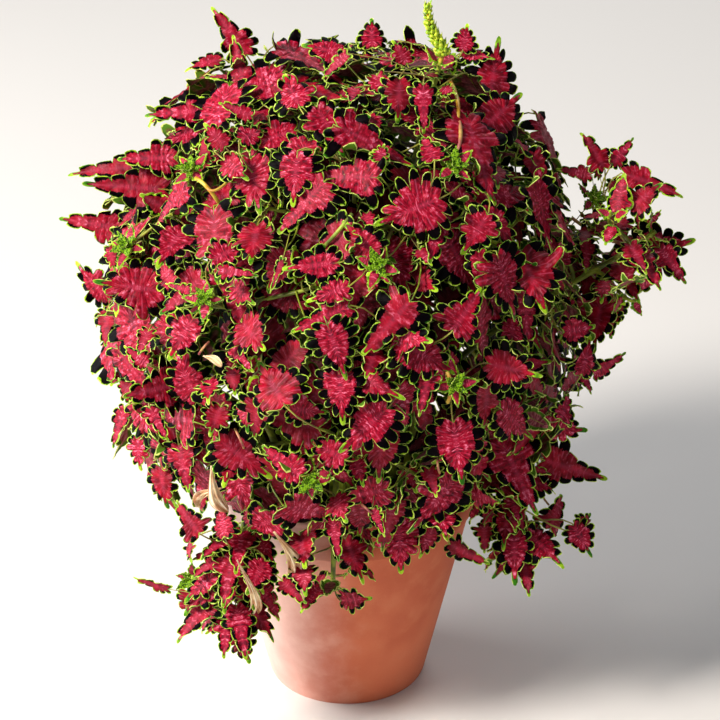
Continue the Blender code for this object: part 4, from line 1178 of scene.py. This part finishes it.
def leafStalk(leaf):  # the stalk's line, run on under the blade as its midrib
    base, axis, root = leaf["base"], leaf["axis"], leaf["root"]
    reach = (base - root).length
    straight = (base - root).normalized()
    dive = leaf["face"] * ((0.34 if "deep" in leaf else 0.05) * reach)
    curve = (root, root + straight * 0.33 * reach - dive * 0.4, base - (axis * 0.2 + straight * 0.13) * reach - dive,
             base)
    count = 6 if leaf["width"] > 26.0 else 3
    points = [bezier(*curve, k / (count - 1.0)) for k in range(count)]
    thick = taper(count, 1.05, 0.8) if leaf["width"] > 26.0 else taper(count, 0.6, 0.45)
    for s in ((0.15, 0.4, 0.7) if leaf["width"] > 26.0 else (0.4,)):
        height = -leaf["curl"] * leaf["length"] * s * s - leafLook["thickness"] - 0.25
        points.append(base + axis * (s * leaf["length"]) + leaf["face"] * height)
        thick.append(thick[count - 1] * (0.95 - s))
    # the hue drops with the leaf's painted shade, so stalks deep in the crown are painted darker
    return points, thick, 0.34 - 1.4 * leaf.get("shade", 0.0)


def leafMaterial():
    # A coleus blade: soft and slightly crinkled, so its gloss is broad and breaks up over the veins
    material, tree, shader = newMaterial("coleus blade")
    pattern, kind, coords = (addNode(tree, "ShaderNodeAttribute", attribute_name=key).outputs["Vector"]
                             for key in ("leafPattern", "leafKind", "leafCoord"))
    shade = addNode(tree, "ShaderNodeAttribute", attribute_name="leafShade").outputs["Fac"]
    margin, blotch, tip = addNode(tree, "ShaderNodeSeparateXYZ", {0: pattern}).outputs
    tint, young, under = addNode(tree, "ShaderNodeSeparateXYZ", {0: kind}).outputs
    lobe, out, _ = addNode(tree, "ShaderNodeSeparateXYZ", {0: coords}).outputs
    place = addNode(tree, "ShaderNodeTexCoord").outputs["Object"]
    # The teeth of the dark patches, about 1.6 mm; drifts of colour, 11 mm; how the margin swells and thins, 4 mm
    ragged, broad, drift = (
        addNode(tree, "ShaderNodeTexNoise", {"Vector": place, "Scale": scale, "Detail": detail}).outputs[0]
        for scale, detail in ((620.0, 3.0), (90.0, 2.0), (240.0, 2.0)))
    rays = addNode(tree, "ShaderNodeVectorMath", {0: coords, 1: (3.4, 0.17, 1.0)}, operation="MULTIPLY").outputs[0]
    streak = addNode(tree, "ShaderNodeTexNoise", {"Vector": rays, "Scale": 1.0, "Detail": 3.0,
                                                  "Roughness": 0.6}).outputs[0]
    # Crimson, with pale pink along the creases, partly the leaf's own veining and partly painted highlight, and painted
    # shade darker between them, with a thin vein down each lobe
    crimson = layered(tree, "#4c0010", [(streak, 0.30, 0.60, 1.0, "#b5062f"), (streak, 0.54, 0.74, 1.0, "#fb88aa")])
    deep = layered(tree, "#5e020f", [(broad, 0.35, 0.7, 1.0, "#a80a26")])
    lobeMiddle = addNode(tree, "ShaderNodeMath", {0: lobe, 1: 0.5}, operation="PINGPONG").outputs[0]
    veined = addNode(tree, "ShaderNodeMapRange", {"Value": out, "From Min": 4.0, "From Max": 12.0, "To Max": 0.28},
                     interpolation_type="SMOOTHSTEP").outputs[0]
    crimson = layered(tree, crimson, [(tint, 0.3, 1.0, 0.8, deep), (lobeMiddle, 0.425, 0.5, veined, "#f0688f"),
                                      (out, 5.0, 0.0, 0.12, "#e9628c")])
    # Near-black patch of each lobe, with a ragged inner border
    dark = layered(tree, "#020002", [(broad, 0.4, 0.75, 1.0, "#0c0309")])
    jag = summed(tree, blotch, (ragged, 6.0), (streak, 6.0))
    # Lime margin, wider at the tip and on young leaves, with a cream hairline; the youngest are nearly all lime
    swell = addNode(tree, "ShaderNodeMapRange", {"Value": drift, "From Min": 0.35, "From Max": 0.65,
                                                 "To Min": 0.34, "To Max": 0.78},
                    interpolation_type="SMOOTHSTEP").outputs[0]
    inside = summed(tree, margin, (ragged, 0.9), (young, -2.2), (tip, -2.6), (swell, -1.0))
    lime = layered(tree, "#2f7409", [(broad, 0.36, 0.64, 1.0, "#a2cc24")])
    hairline = addNode(tree, "ShaderNodeMapRange", {"Value": drift, "From Min": 0.35, "From Max": 0.6},
                       interpolation_type="SMOOTHSTEP").outputs[0]
    fresh = layered(tree, "#254807", [(ragged, 0.40, 0.60, 1.0, "#86b41c")])
    colour = layered(tree, crimson, [(jag, 5.75, 6.35, 1.0, dark), (inside, 0.95, 0.45, 1.0, "#163208"),
                                     (inside, 0.55, 0.25, 1.0, lime), (margin, 0.32, 0.12, hairline, "#dbe87a"),
                                     (young, 0.92, 0.98, 1.0, fresh)])
    below = layered(tree, "#7c2c3c", [(streak, 0.35, 0.7, 1.0, "#b56f70"), (margin, 7.0, 2.5, 1.0, "#4f7c1c"),
                                      (margin, 0.9, 0.3, 1.0, "#dcea80")])
    # The underside's colour, then painted shade: leaves deep in the crown are mixed toward black
    for part, over in ((under, below), (shade, "#000000")):
        colour = addNode(tree, "ShaderNodeMix", {0: part, 6: colour, 7: over}, data_type="RGBA").outputs[2]
    gloss = addNode(tree, "ShaderNodeMapRange", {"Value": jag, "From Min": 5.75, "From Max": 6.35,
                                                 "To Min": 0.16, "To Max": 0.04},
                    interpolation_type="SMOOTHSTEP").outputs[0]
    dress(tree, shader, colour, 0.5, summed(tree, streak, (ragged, 0.35)), 0.6, 0.0011, gloss)
    return material


def stemMaterial():
    # Square, juicy herb stems: lime and olive, flushed pink towards the leaf stalks, with painted shade darkening them
    # deep in the crown
    material, tree, shader = newMaterial("coleus stem skin")
    hue = addNode(tree, "ShaderNodeAttribute", attribute_name="hue").outputs["Fac"]
    place = addNode(tree, "ShaderNodeTexCoord").outputs["Object"]
    drift, fine = (addNode(tree, "ShaderNodeTexNoise", {"Vector": place, "Scale": scale, "Detail": detail}).outputs[0]
                   for scale, detail in ((60.0, 3.0), (900.0, 2.0)))  # about 17 mm and 1 mm
    green, pink, amber = (layered(tree, first, [(drift, 0.35, 0.65, 1.0, second)]) for first, second in (
        ("#56661a", "#9fb02e"), ("#a34a52", "#c9a85a"), ("#c98a1c", "#e6cf4e")))
    # painted shade: hues below zero, given to stalks deep in the crown, run down to near-black green
    colour = layered(tree, "#080e03", [(hue, -0.9, 0.0, 1.0, green), (hue, 0.2, 0.6, 1.0, pink),
                                       (hue, 0.7, 1.0, 1.0, amber)])
    dress(tree, shader, colour, 0.45, fine, 0.3, 0.0004)
    return material


def tubeTree():  # sweeps a ring of the given number of sides along each line, as thick as the line says
    tree, inputs, out = newTree("stems along lines", [("Sides", "Int"), ("Skin", "Material")])
    curve = addNode(tree, "GeometryNodeMeshToCurve", {"Mesh": inputs["Geometry"]}).outputs[0]
    ring = addNode(tree, "GeometryNodeCurvePrimitiveCircle", {"Resolution": inputs["Sides"], "Radius": 1.0})
    thick = addNode(tree, "GeometryNodeInputNamedAttribute", {"Name": "thickness"}, data_type="FLOAT")
    tube = addNode(tree, "GeometryNodeCurveToMesh", {"Curve": curve, "Profile Curve": ring.outputs[0],
                                                     "Scale": thick.outputs[0], "Fill Caps": True}).outputs[0]
    return endTree(tree, tube, inputs["Skin"], out)


def makeTubes(name, lines, sides, slot, *nodes):  # a piece of stems along lines of points, each with a hue
    verts, edges, thick, hues = [], [], [], []
    for points, radii, hue in lines:
        first = len(verts)
        verts += [p * mm for p in points]
        edges += [(first + k, first + k + 1) for k in range(len(points) - 1)]
        thick += [r * mm for r in radii]
        hues += [hue] * len(points)
    made = meshObject(name, verts, edges, [])
    keep(made.data, "thickness", thick)
    keep(made.data, "hue", hues)
    runTree(made, tubes, {"Sides": sides, "Skin": stemSkin})
    made.data.shade_smooth()
    settle(made, name, slot, *nodes)
    return sum(len(polygon.vertices) - 2 for polygon in made.data.polygons)


def foliageMesh(name, parts):  # one mesh from many fine leaves
    firsts = np.cumsum([0] + [len(part[0]) for part in parts])
    points = np.vstack([part[0] for part in parts]) * mm
    faces = np.vstack([part[1] + first for part, first in zip(parts, firsts)])
    mesh = bpy.data.meshes.new(name)
    mesh.vertices.add(len(points))
    mesh.vertices.foreach_set("co", points.ravel())
    mesh.loops.add(faces.size)
    mesh.loops.foreach_set("vertex_index", faces.ravel())
    mesh.polygons.add(len(faces))
    mesh.polygons.foreach_set("loop_start", np.arange(0, faces.size, 3))
    mesh.update(calc_edges=True)
    mesh.shade_smooth()
    for number, key in enumerate(("leafPattern", "leafCoord", "leafKind", "leafShade"), 2):
        keep(mesh, key, np.concatenate([part[number] for part in parts]))
    mesh.set_sharp_from_angle(angle=math.radians(70.0))
    mesh.validate()
    return mesh


def makeFoliage(stems):
    blade = leafMaterial()
    draw = random.Random(seed + 2)
    total = 0
    for stem in stems:
        number = stem["name"][-2:]
        parts = [fineLeaf(leaf, draw) for leaf in stem["leaves"]]
        if parts:
            mesh = foliageMesh("leaves", parts)
            mesh.materials.append(blade)
            settle(objectFrom("leaves", mesh), "leaves_" + number, "coleus_leaf", stem["name"])
            total += len(mesh.polygons)
        lines = stem["lines"] + [leafStalk(leaf) for leaf in stem["leaves"]]
        total += makeTubes("stem_" + number, lines, 5, "coleus_leaf", stem["name"])
    print("leaf and stem triangles", total)


# Pot

clay = {
    # How much each corner of the profile is rounded, from the foot to the inner floor, in mm
    "rounding": {"foot": 2.0, "step": 1.2, "collar": 1.6, "groove": 0.4, "lip": 1.3, "inside": 1.5, "mouth": 1.2,
                 "floor": 8.0},
    # Below the rim, depth and half width of the grooves turned into the collar, in mm
    "grooves": [(9.0, 0.45, 1.3), (26.0, 0.22, 0.9)],
    "chamfer": 1.5, "sides": 144, "drainSides": 28, "drainPast": 5.0,
}


def wallRadius(z):  # the pot's plain outer wall at a height, below its collar
    top = pot["rimRadius"] - 2.0 * pot["step"] + 1.0
    return pot["footRadius"] + (top - pot["footRadius"]) * z / (pot["height"] - pot["collar"])


def innerRadius(z):
    return wallRadius(z) - pot["wall"]


def rounded(corners, steps=4):  # a profile of (radius, height, rounding) with its corners rounded
    places = []
    for k, (r, z, size) in enumerate(corners):
        here = Vector((r, z))
        if size == 0.0:
            places.append(here)
            continue
        before, after = Vector(corners[k - 1][:2]), Vector(corners[k + 1][:2])
        first, last = here + (before - here).normalized() * size, here + (after - here).normalized() * size
        for j in range(steps + 1):
            t = j / steps
            places.append(first * (1.0 - t) ** 2 + here * (2.0 * t * (1.0 - t)) + last * (t * t))
    return places


def turned(name, profile, sides):  # a profile from axis to axis, turned round the Z axis as a closed mesh
    verts = [(0.0, 0.0, profile[0].y * mm), (0.0, 0.0, profile[-1].y * mm)]
    rings = profile[1:-1]
    for place in rings:
        for j in range(sides):
            turn = 2.0 * math.pi * j / sides
            verts.append((place.x * mm * math.cos(turn), place.x * mm * math.sin(turn), place.y * mm))
    faces = []
    last = 2 + (len(rings) - 1) * sides
    for j in range(sides):
        after = (j + 1) % sides
        faces += [(0, 2 + after, 2 + j), (1, last + j, last + after)]
        for a, b in ((2 + k * sides + j, 2 + k * sides + after) for k in range(len(rings) - 1)):
            faces.append((a, b, b + sides, a + sides))
    return meshObject(name, verts, [], faces)


def clayMaterial():
    # Fired terracotta: open, chalky clay, so it is matt, with painted light paling its left side and painted shade
    # darkening the collar under the foliage
    material, tree, shader = newMaterial("terracotta")
    place = addNode(tree, "ShaderNodeTexCoord").outputs["Object"]
    sideways, _, up = addNode(tree, "ShaderNodeSeparateXYZ", {0: place}).outputs
    squashed = addNode(tree, "ShaderNodeMapping", {"Vector": place, "Scale": (14.0, 14.0, 420.0)}).outputs[0]
    # Drifts of tone, about 110 mm; mottling, 26 mm; the clay's grain, under 1 mm; turning marks, 2 mm apart
    drift, cloud, grain, rings = (
        addNode(tree, "ShaderNodeTexNoise", {"Vector": vector, "Scale": scale, "Detail": detail,
                                             "Roughness": rough}).outputs[0]
        for vector, scale, detail, rough in ((place, 9.0, 3.0, 0.5), (place, 38.0, 4.0, 0.6),
                                             (place, 1400.0, 3.0, 0.5), (squashed, 1.0, 2.0, 0.5)))
    # painted shade: how strongly the collar under the foliage is darkened, varying in drifts
    paintedCollarShade = addNode(tree, "ShaderNodeMapRange", {"Value": drift, "From Min": 0.30, "From Max": 0.60,
                                                "To Min": 0.35, "To Max": 0.9},
                   interpolation_type="SMOOTHSTEP").outputs[0]
    # painted light: paler towards the left side, broken up a little by the mottling
    paintedLeftLight = summed(tree, 0.0, (sideways, -6.5), (cloud, 0.3), (drift, 0.2))
    colour = layered(tree, "#bd5b3a", [
        (drift, 0.38, 0.62, 1.0, "#cd6d49"), (cloud, 0.42, 0.72, 0.5, "#cf7a58"), (up, 0.20, 0.26, paintedCollarShade, "#a03414"),
        (paintedLeftLight, 0.12, 1.0, 0.78, "#f6dcd4"), (grain, 0.60, 0.75, 0.22, "#e0a182"),
        (grain, 0.36, 0.26, 0.25, "#7d3218")])
    rough = addNode(tree, "ShaderNodeMapRange", {"Value": cloud, "From Min": 0.3, "From Max": 0.7,
                                                 "To Min": 0.70, "To Max": 0.86},
                    interpolation_type="SMOOTHSTEP").outputs[0]
    dress(tree, shader, colour, rough, summed(tree, 0.0, (rings, 0.5), (grain, 0.6)), 0.35, 0.0005, 0.35)
    return material


def makePot():
    low, top, edge, soft = pot["height"] - pot["collar"], pot["height"], pot["edge"], clay["rounding"]
    shoulder, rim, chamfer = wallRadius(low) + pot["step"], pot["rimRadius"], clay["chamfer"]

    def collarRadius(z):
        return shoulder + (rim - shoulder) * (z - low - chamfer) / (top - edge - low - chamfer)

    corners = [(0.0, 0.0, 0.0), (pot["footRadius"] - edge * 0.5, 0.0, 0.0), (pot["footRadius"], edge, soft["foot"]),
               (wallRadius(low), low, soft["step"]), (shoulder, low + chamfer, soft["collar"])]
    for below, deep, half in reversed(clay["grooves"]):
        z = top - below
        corners += [(collarRadius(z - half), z - half, 0.0), (collarRadius(z) - deep, z, soft["groove"]),
                    (collarRadius(z + half), z + half, 0.0)]
    corners += [(rim, top - edge, soft["lip"]), (rim - edge, top, soft["lip"]),
                (innerRadius(top) + edge, top, soft["inside"]), (innerRadius(top), top - edge, soft["mouth"]),
                (innerRadius(pot["floor"]), pot["floor"], soft["floor"]), (0.0, pot["floor"], 0.0)]
    made = turned("pot", rounded(corners), clay["sides"])
    for k in range(pot["drains"]):
        turn = 2.0 * math.pi * (k + 0.25) / pot["drains"]
        spot = Vector((pot["drainCircle"] * math.cos(turn), pot["drainCircle"] * math.sin(turn), 0.0))
        past = Vector((0.0, 0.0, clay["drainPast"]))
        verts, faces = bar([spot - past, spot + past + Vector((0.0, 0.0, pot["floor"]))], [pot["drainRadius"]] * 2,
                           clay["drainSides"])
        cutter = meshObject("drain", [v * mm for v in verts], [], faces)
        modifier = made.modifiers.new("drain", "BOOLEAN")
        modifier.operation, modifier.solver, modifier.object = "DIFFERENCE", "EXACT", cutter
        asMesh(made)
        bpy.data.objects.remove(cutter, do_unlink=True)
    made.data.materials.clear()
    made.data.materials.append(clayMaterial())
    made.data.shade_smooth()
    made.data.set_sharp_from_angle(angle=math.radians(38.0))
    settle(made, "flowerpot", "terracotta", "pot")


# Compost

ground = {"rings": 26, "sectors": 96, "foot": 9.0, "slope": 0.4, "relief": 1.6, "gap": 0.4,
          "crumbs": 1700, "least": 0.8, "most": 2.8}


def soilMaterial():
    # Damp peat compost: dark, dull and crumbly, with paler fibres and a few specks of grit
    material, tree, shader = newMaterial("peat compost")
    place = addNode(tree, "ShaderNodeTexCoord").outputs["Object"]
    clods, fine = (addNode(tree, "ShaderNodeTexNoise", {"Vector": place, "Scale": scale, "Detail": detail,
                                                        "Roughness": 0.6}).outputs[0]
                   for scale, detail in ((160.0, 4.0), (900.0, 3.0)))  # about 6 mm and 1 mm
    colour = layered(tree, "#1c120c", [(clods, 0.35, 0.65, 1.0, "#3d2819"), (fine, 0.62, 0.72, 1.0, "#7a5a3e")])
    dress(tree, shader, colour, 0.95, summed(tree, clods, (fine, 0.4)), 0.8, 0.0015, 0.2)
    return material


def crumbTree():  # scatters squashed crumbs over the compost's top
    tree, inputs, out = newTree("crumbs on compost", [("Amount", "Float"), ("Least", "Float"), ("Most", "Float"),
                                                      ("Seed", "Int"), ("Skin", "Material")])
    normal = addNode(tree, "GeometryNodeInputNormal").outputs[0]
    upward = addNode(tree, "ShaderNodeSeparateXYZ", {0: normal}).outputs[2]
    top = addNode(tree, "FunctionNodeCompare", {0: upward, 1: 0.6}, operation="GREATER_THAN").outputs[0]
    spread = {"Mesh": inputs["Geometry"], "Selection": top, "Density": inputs["Amount"], "Seed": inputs["Seed"]}
    points = addNode(tree, "GeometryNodeDistributePointsOnFaces", spread).outputs[0]
    crumb = addNode(tree, "GeometryNodeMeshIcoSphere", {"Radius": 1.0, "Subdivisions": 1}).outputs[0]
    turn, squash = (addNode(tree, "FunctionNodeRandomValue", {0: (low,) * 3, 1: (high,) * 3},
                            data_type="FLOAT_VECTOR").outputs[0] for low, high in ((0.0, 6.28), (0.6, 1.2)))
    size = addNode(tree, "FunctionNodeRandomValue", {2: inputs["Least"], 3: inputs["Most"]},
                   data_type="FLOAT").outputs[1]
    scale = addNode(tree, "ShaderNodeVectorMath", {0: squash, "Scale": size}, operation="SCALE").outputs[0]
    placed = addNode(tree, "GeometryNodeInstanceOnPoints", {"Points": points, "Instance": crumb, "Rotation": turn,
                                                            "Scale": scale}).outputs[0]
    return endTree(tree, placed, inputs["Skin"], out)


def makeCompost():
    rings, gap, low, top, crown = ground["rings"], ground["gap"], pot["floor"] + fitGap, soil["top"], soil["crown"]
    foot, edge = innerRadius(low), innerRadius(top) - gap
    profile = [Vector(place) for place in ((0.0, low), (foot - ground["foot"], low), (foot - gap, low + ground["foot"]),
                                           (edge, top - 2.0))]
    for k in range(rings):
        r = edge * (1.0 - k / rings) - 0.2
        profile.append(Vector((r, top + crown * min((1.0 - r / edge) / ground["slope"], 1.0))))
    profile.append(Vector((0.0, top + crown)))
    made = turned("compost", profile, ground["sectors"])
    for vertex in made.data.vertices:
        spot = vertex.co / mm
        if spot.z > top - 3.0:
            lift = perlin.noise(spot * 0.05) + 0.6 * perlin.noise(spot * 0.16)
            vertex.co.z += (lift * ground["relief"] - 0.5) * mm
    skin = soilMaterial()
    made.data.materials.append(skin)
    made.data.shade_smooth()
    crumbs = objectFrom("crumbs", made.data.copy())
    area = math.pi * (edge * mm) ** 2
    runTree(crumbs, crumbTree(), {"Amount": ground["crumbs"] / area, "Least": ground["least"] * mm,
                                  "Most": ground["most"] * mm, "Seed": seed, "Skin": skin})
    settle(made, "compost_bed", "compost", "compost")
    settle(crumbs, "compost_crumbs", "compost", "compost")


# Flower spike

buds = {"whorls": 13, "each": 5, "radius": 8.2, "taper": 0.45, "bud": 0.42, "long": 1.35, "bract": 0.95}


def budMaterial():
    # Unopened flower buds: soft lime skin, with yellower and paler patches
    material, tree, shader = newMaterial("flower bud skin")
    place = addNode(tree, "ShaderNodeTexCoord").outputs["Object"]
    patchy, fine = (addNode(tree, "ShaderNodeTexNoise", {"Vector": place, "Scale": scale, "Detail": detail}).outputs[0]
                    for scale, detail in ((260.0, 3.0), (1500.0, 2.0)))  # about 4 mm and under 1 mm
    colour = layered(tree, "#7fae14", [(patchy, 0.38, 0.62, 1.0, "#d3e23c"), (patchy, 0.66, 0.78, 1.0, "#f0eea0")])
    dress(tree, shader, colour, 0.5, fine, 0.4, 0.0004)
    return material


def budTree():  # sets a long bud or a pointed bract on each point, turned and sized as the point says
    tree, inputs, out = newTree("buds on points", [("Pointed", "Bool"), ("Skin", "Material")])
    size, turn = (addNode(tree, "GeometryNodeInputNamedAttribute", {"Name": key}, data_type="FLOAT_VECTOR").outputs[0]
                  for key in ("size", "turn"))
    points = addNode(tree, "GeometryNodeMeshToPoints", {"Mesh": inputs["Geometry"]}).outputs[0]
    ball = addNode(tree, "GeometryNodeMeshIcoSphere", {"Radius": 1.0, "Subdivisions": 3}).outputs[0]
    cone = addNode(tree, "GeometryNodeMeshCone", {"Vertices": 8, "Side Segments": 3, "Radius Top": 0.02,
                                                  "Radius Bottom": 1.0, "Depth": 2.0}).outputs[0]
    shape = addNode(tree, "GeometryNodeSwitch", {"Switch": inputs["Pointed"], "False": ball, "True": cone},
                    input_type="GEOMETRY").outputs[0]
    placed = addNode(tree, "GeometryNodeInstanceOnPoints", {"Points": points, "Instance": shape, "Rotation": turn,
                                                            "Scale": size}).outputs[0]
    return endTree(tree, placed, inputs["Skin"], out)


def pointObject(name, points):  # places with a direction and a size, in millimetres
    made = meshObject(name, [place * mm for place, way, size in points], [], [])
    keep(made.data, "turn", [tuple(way.to_track_quat("Z", "Y").to_euler()) for place, way, size in points])
    keep(made.data, "size", [tuple(Vector(size) * mm) for place, way, size in points])
    return made


def makeSpike(stems):
    low, bend, top = (planeSpot(spot, spike["y"]) for spot in spike["spots"])
    stem = min(stems, key=lambda stem: (stem["tip"] - low).length)
    lead = (stem["points"][-1] - stem["points"][-2]).normalized()
    neck = stem["tip"] + lead * spike["neck"]
    draw = random.Random(seed + 3)

    def axisSpot(t):
        return bezier(neck, neck + lead * 12.0, bend, top, t)

    stalk = [stem["tip"] - lead * 2.0] + [axisSpot(k / 16.0) for k in range(17)]
    places, points = [], []
    for k in range(buds["whorls"]):
        t = 0.10 + 0.88 * k / (buds["whorls"] - 1)
        centre = axisSpot(t)
        ahead = (axisSpot(min(t + 0.03, 1.03)) - centre).normalized()
        size = buds["radius"] * (1.0 - buds["taper"] * t)
        for j in range(buds["each"]):
            turn = 2.0 * math.pi * (j + 0.38 * k) / buds["each"] + draw.uniform(-0.15, 0.15)
            out = Matrix.Rotation(turn, 3, ahead) @ squareTo(ahead, Vector((1.0, 0.0, 0.0)))
            way = (out + ahead * draw.uniform(0.5, 0.9)).normalized()
            wide = size * buds["bud"] * draw.uniform(0.75, 1.05)
            places.append((centre + out * size * draw.uniform(0.45, 0.7), way, (wide, wide, wide * buds["long"])))
        for j in range(3):
            turn = goldenAngle * (3 * k + j)
            out = Matrix.Rotation(turn, 3, ahead) @ squareTo(ahead, Vector((1.0, 0.0, 0.0)))
            way = (out + ahead * (0.8 + 1.2 * t)).normalized()
            points.append((centre + out * size * 0.45 + way * size * 0.3, way,
                           (size * 0.34, size * 0.16, size * buds["bract"] * draw.uniform(0.5, 0.8))))
    end = axisSpot(1.0)
    ahead = (end - axisSpot(0.97)).normalized()
    for k in range(6):  # the pointed tuft at the top
        out = Matrix.Rotation(goldenAngle * k, 3, ahead) @ squareTo(ahead, Vector((1.0, 0.0, 0.0)))
        way = (ahead + out * 0.22).normalized()
        points.append((end - ahead * (5.0 + 0.8 * k) + out * 1.6, way, (2.3, 1.2, 4.6)))
    skin, tree = budMaterial(), budTree()
    for name, spots, pointed in (("flower_buds", places, False), ("flower_bracts", points, True)):
        made = pointObject(name, spots)
        runTree(made, tree, {"Pointed": pointed, "Skin": skin})
        made.data.shade_smooth()
        settle(made, name, "flower_buds", "flower_spike")
    makeTubes("spike_stalk", [(stalk, taper(18, 2.5, 1.2), 1.0)], 8, "flower_buds", "flower_spike")


# Withered leaves and bare stems that show from the front

withered = {
    # Stalk end across and down, tip across and down, in pixels of the view, width in mm, how far behind the skin
    "rows": [(211, 466, 228, 512, 17.0, 0.0), (222, 488, 197, 507, 13.0, 2.0), (237, 560, 242, 616, 15.0, -50.0),
             (274, 532, 290, 580, 19.0, -26.0), (203, 356, 222, 366, 9.0, -2.0)],
    "steps": 24, "half": 8, "thick": 0.28,
    "widest": 0.70,           # how far down the strip it is widest
    "pleats": 2.3, "pleat": 0.34, "sway": 0.10,
}
bare = [  # spots of the view from the root up, how far behind the skin at each, radius in mm and hue
    ([(196, 178), (207, 187), (219, 203)], (4, 2, 24), 2.0, 1.0),
    ([(231, 178), (216, 190), (207, 187)], (20, 4, 3), 1.4, 0.9),
    ([(320, 250), (334, 236), (352, 214)], (26, 6, 4), 2.0, 0.05),
    ([(447, 372), (451, 386), (448, 402)], (3, 2, 22), 2.0, 0.9),
    ([(572, 218), (600, 236), (622, 243)], (24, 4, 4), 1.9, 0.75),
    ([(538, 486), (543, 497), (549, 505)], (14, 3, 12), 1.2, 0.5),
    ([(199, 354), (204, 347), (209, 342)], (14, 2, 12), 1.2, 0.7),
    ([(235, 429), (240, 439), (244, 449)], (14, 2, 12), 1.3, 0.7),
    ([(384, 420), (386, 434), (384, 450)], (14, 2, 14), 1.3, 0.7),
    ([(361, 504), (369, 511), (377, 521)], (12, 1, 12), 1.2, 0.7),
    ([(438, 458), (438, 467), (441, 476)], (14, 2, 14), 1.2, 0.7),
    ([(448, 168), (460, 142), (457, 112)], (30, 8, 10), 2.0, 0.72),
    ([(457, 124), (457, 98), (446, 74)], (12, 6, 16), 2.0, 1.0),
]


def dryMaterial():
    # Papery withered leaf: cream and tan, matt, with darker veins along it
    material, tree, shader = newMaterial("withered leaf")
    place = addNode(tree, "ShaderNodeTexCoord").outputs["Object"]
    strip = addNode(tree, "ShaderNodeAttribute", attribute_name="strip").outputs["Vector"]
    stretched = addNode(tree, "ShaderNodeMapping", {"Vector": strip, "Scale": (0.035, 0.5, 1.0)}).outputs[0]
    veins = addNode(tree, "ShaderNodeTexNoise", {"Vector": stretched, "Scale": 1.0, "Detail": 3.0,
                                                 "Roughness": 0.6}).outputs[0]  # 2 mm across, 29 mm along
    patchy = addNode(tree, "ShaderNodeTexNoise", {"Vector": place, "Scale": 45.0, "Detail": 2.0}).outputs[0]
    colour = layered(tree, "#cf9663", [(patchy, 0.35, 0.65, 1.0, "#f1dab0"), (veins, 0.50, 0.68, 1.0, "#a8643c"),
                                       (veins, 0.46, 0.34, 1.0, "#fbefd6")])
    dress(tree, shader, colour, 0.75, veins, 0.35, 0.0006)
    return material


def dryStrip(row, draw):  # a shrivelled leaf, pleated along its length and twisted: points, faces and its own map
    u0, v0, u1, v1, wide, back = row
    start, end = crownSpot((u0, v0), back), crownSpot((u1, v1), back)
    axis = (end - start).normalized()
    face = squareTo(axis, eye - start)
    across = face.cross(axis)
    length = (end - start).length
    steps, half, thick = withered["steps"], withered["half"], withered["thick"]
    fold, twist, phase = draw.uniform(0.2, 0.5), draw.uniform(-1.1, 1.1), draw.uniform(0.0, 6.0)
    sway, widest = draw.choice((-1.0, 1.0)) * withered["sway"] * length, withered["widest"]
    mids, lifts, strip = [], [], []
    for i in range(steps + 1):
        t = i / steps
        swell = math.sin(0.5 * math.pi * min(t / widest, 1.0)) ** 1.6
        shut = math.sqrt(1.0 - (max(t - widest, 0.0) / (1.0 - widest)) ** 2)
        broad = 0.5 * wide * (0.12 + 0.88 * swell) * (0.12 + 0.88 * shut)
        middle = start.lerp(end, t) + (face * 0.12 * length + across * sway) * math.sin(math.pi * t)
        turn = Matrix.Rotation(twist * (t - 0.5), 3, axis)
        for j in range(-half, half + 1):
            a = j / half
            out = turn @ (across * (a * math.cos(fold)) - face * (abs(a) * math.sin(fold)))
            pleat = withered["pleat"] * broad * math.sin(withered["pleats"] * math.pi * a + phase + 1.2 * t)
            mids.append(middle + out * broad + turn @ face * pleat)
            lifts.append(turn @ face * thick)
            strip.append((t * length, a * wide * 0.5, phase))
    row = 2 * half + 1
    count = len(mids)
    verts = [m + l for m, l in zip(mids, lifts)] + [m - l for m, l in zip(mids, lifts)]
    faces = []
    for i in range(steps):
        for j in range(row - 1):
            a, b, c, d = i * row + j, i * row + j + 1, (i + 1) * row + j + 1, (i + 1) * row + j
            faces += [(a, d, c, b), (a + count, b + count, c + count, d + count)]
    loop = [j for j in range(row)] + [i * row + row - 1 for i in range(1, steps + 1)]
    loop += [steps * row + j for j in range(row - 2, -1, -1)] + [i * row for i in range(steps - 1, 0, -1)]
    for p, q in zip(loop, loop[1:] + loop[:1]):
        faces.append((q, q + count, p + count, p))
    return verts, faces, strip * 2


def makeWithered():
    draw = random.Random(seed + 4)
    verts, faces, maps = [], [], []
    for row in withered["rows"]:
        points, sides, strip = dryStrip(row, draw)
        first = len(verts)
        verts += [p * mm for p in points]
        faces += [tuple(first + i for i in side) for side in sides]
        maps += strip
    made = meshObject("withered leaves", verts, [], faces)
    work = bmesh.new()
    work.from_mesh(made.data)
    bmesh.ops.recalc_face_normals(work, faces=work.faces)
    work.to_mesh(made.data)
    work.free()
    keep(made.data, "strip", maps)
    made.data.shade_smooth()
    made.data.materials.append(dryMaterial())
    settle(made, "withered_leaves", "coleus_leaf")


def makeBareStems():
    lines = []
    for spots, back, radius, hue in bare:
        a, b, c = (crownSpot(spot, deep) for spot, deep in zip(spots, back))
        middle = b * 2.0 - (a + c) * 0.5
        places = [a * (1.0 - t) ** 2 + middle * (2.0 * t * (1.0 - t)) + c * t * t
                  for t in (k / 12.0 for k in range(13))]
        lines.append((places, [radius] * len(places), hue))
    makeTubes("bare_stems", lines, 8, "coleus_leaf")


stemSkin, tubes = stemMaterial(), tubeTree()
plant = growPlant()
makeFoliage(plant)
makePot()
makeCompost()
makeSpike(plant)
makeWithered()
makeBareStems()
print("pot, compost and flower spike made")
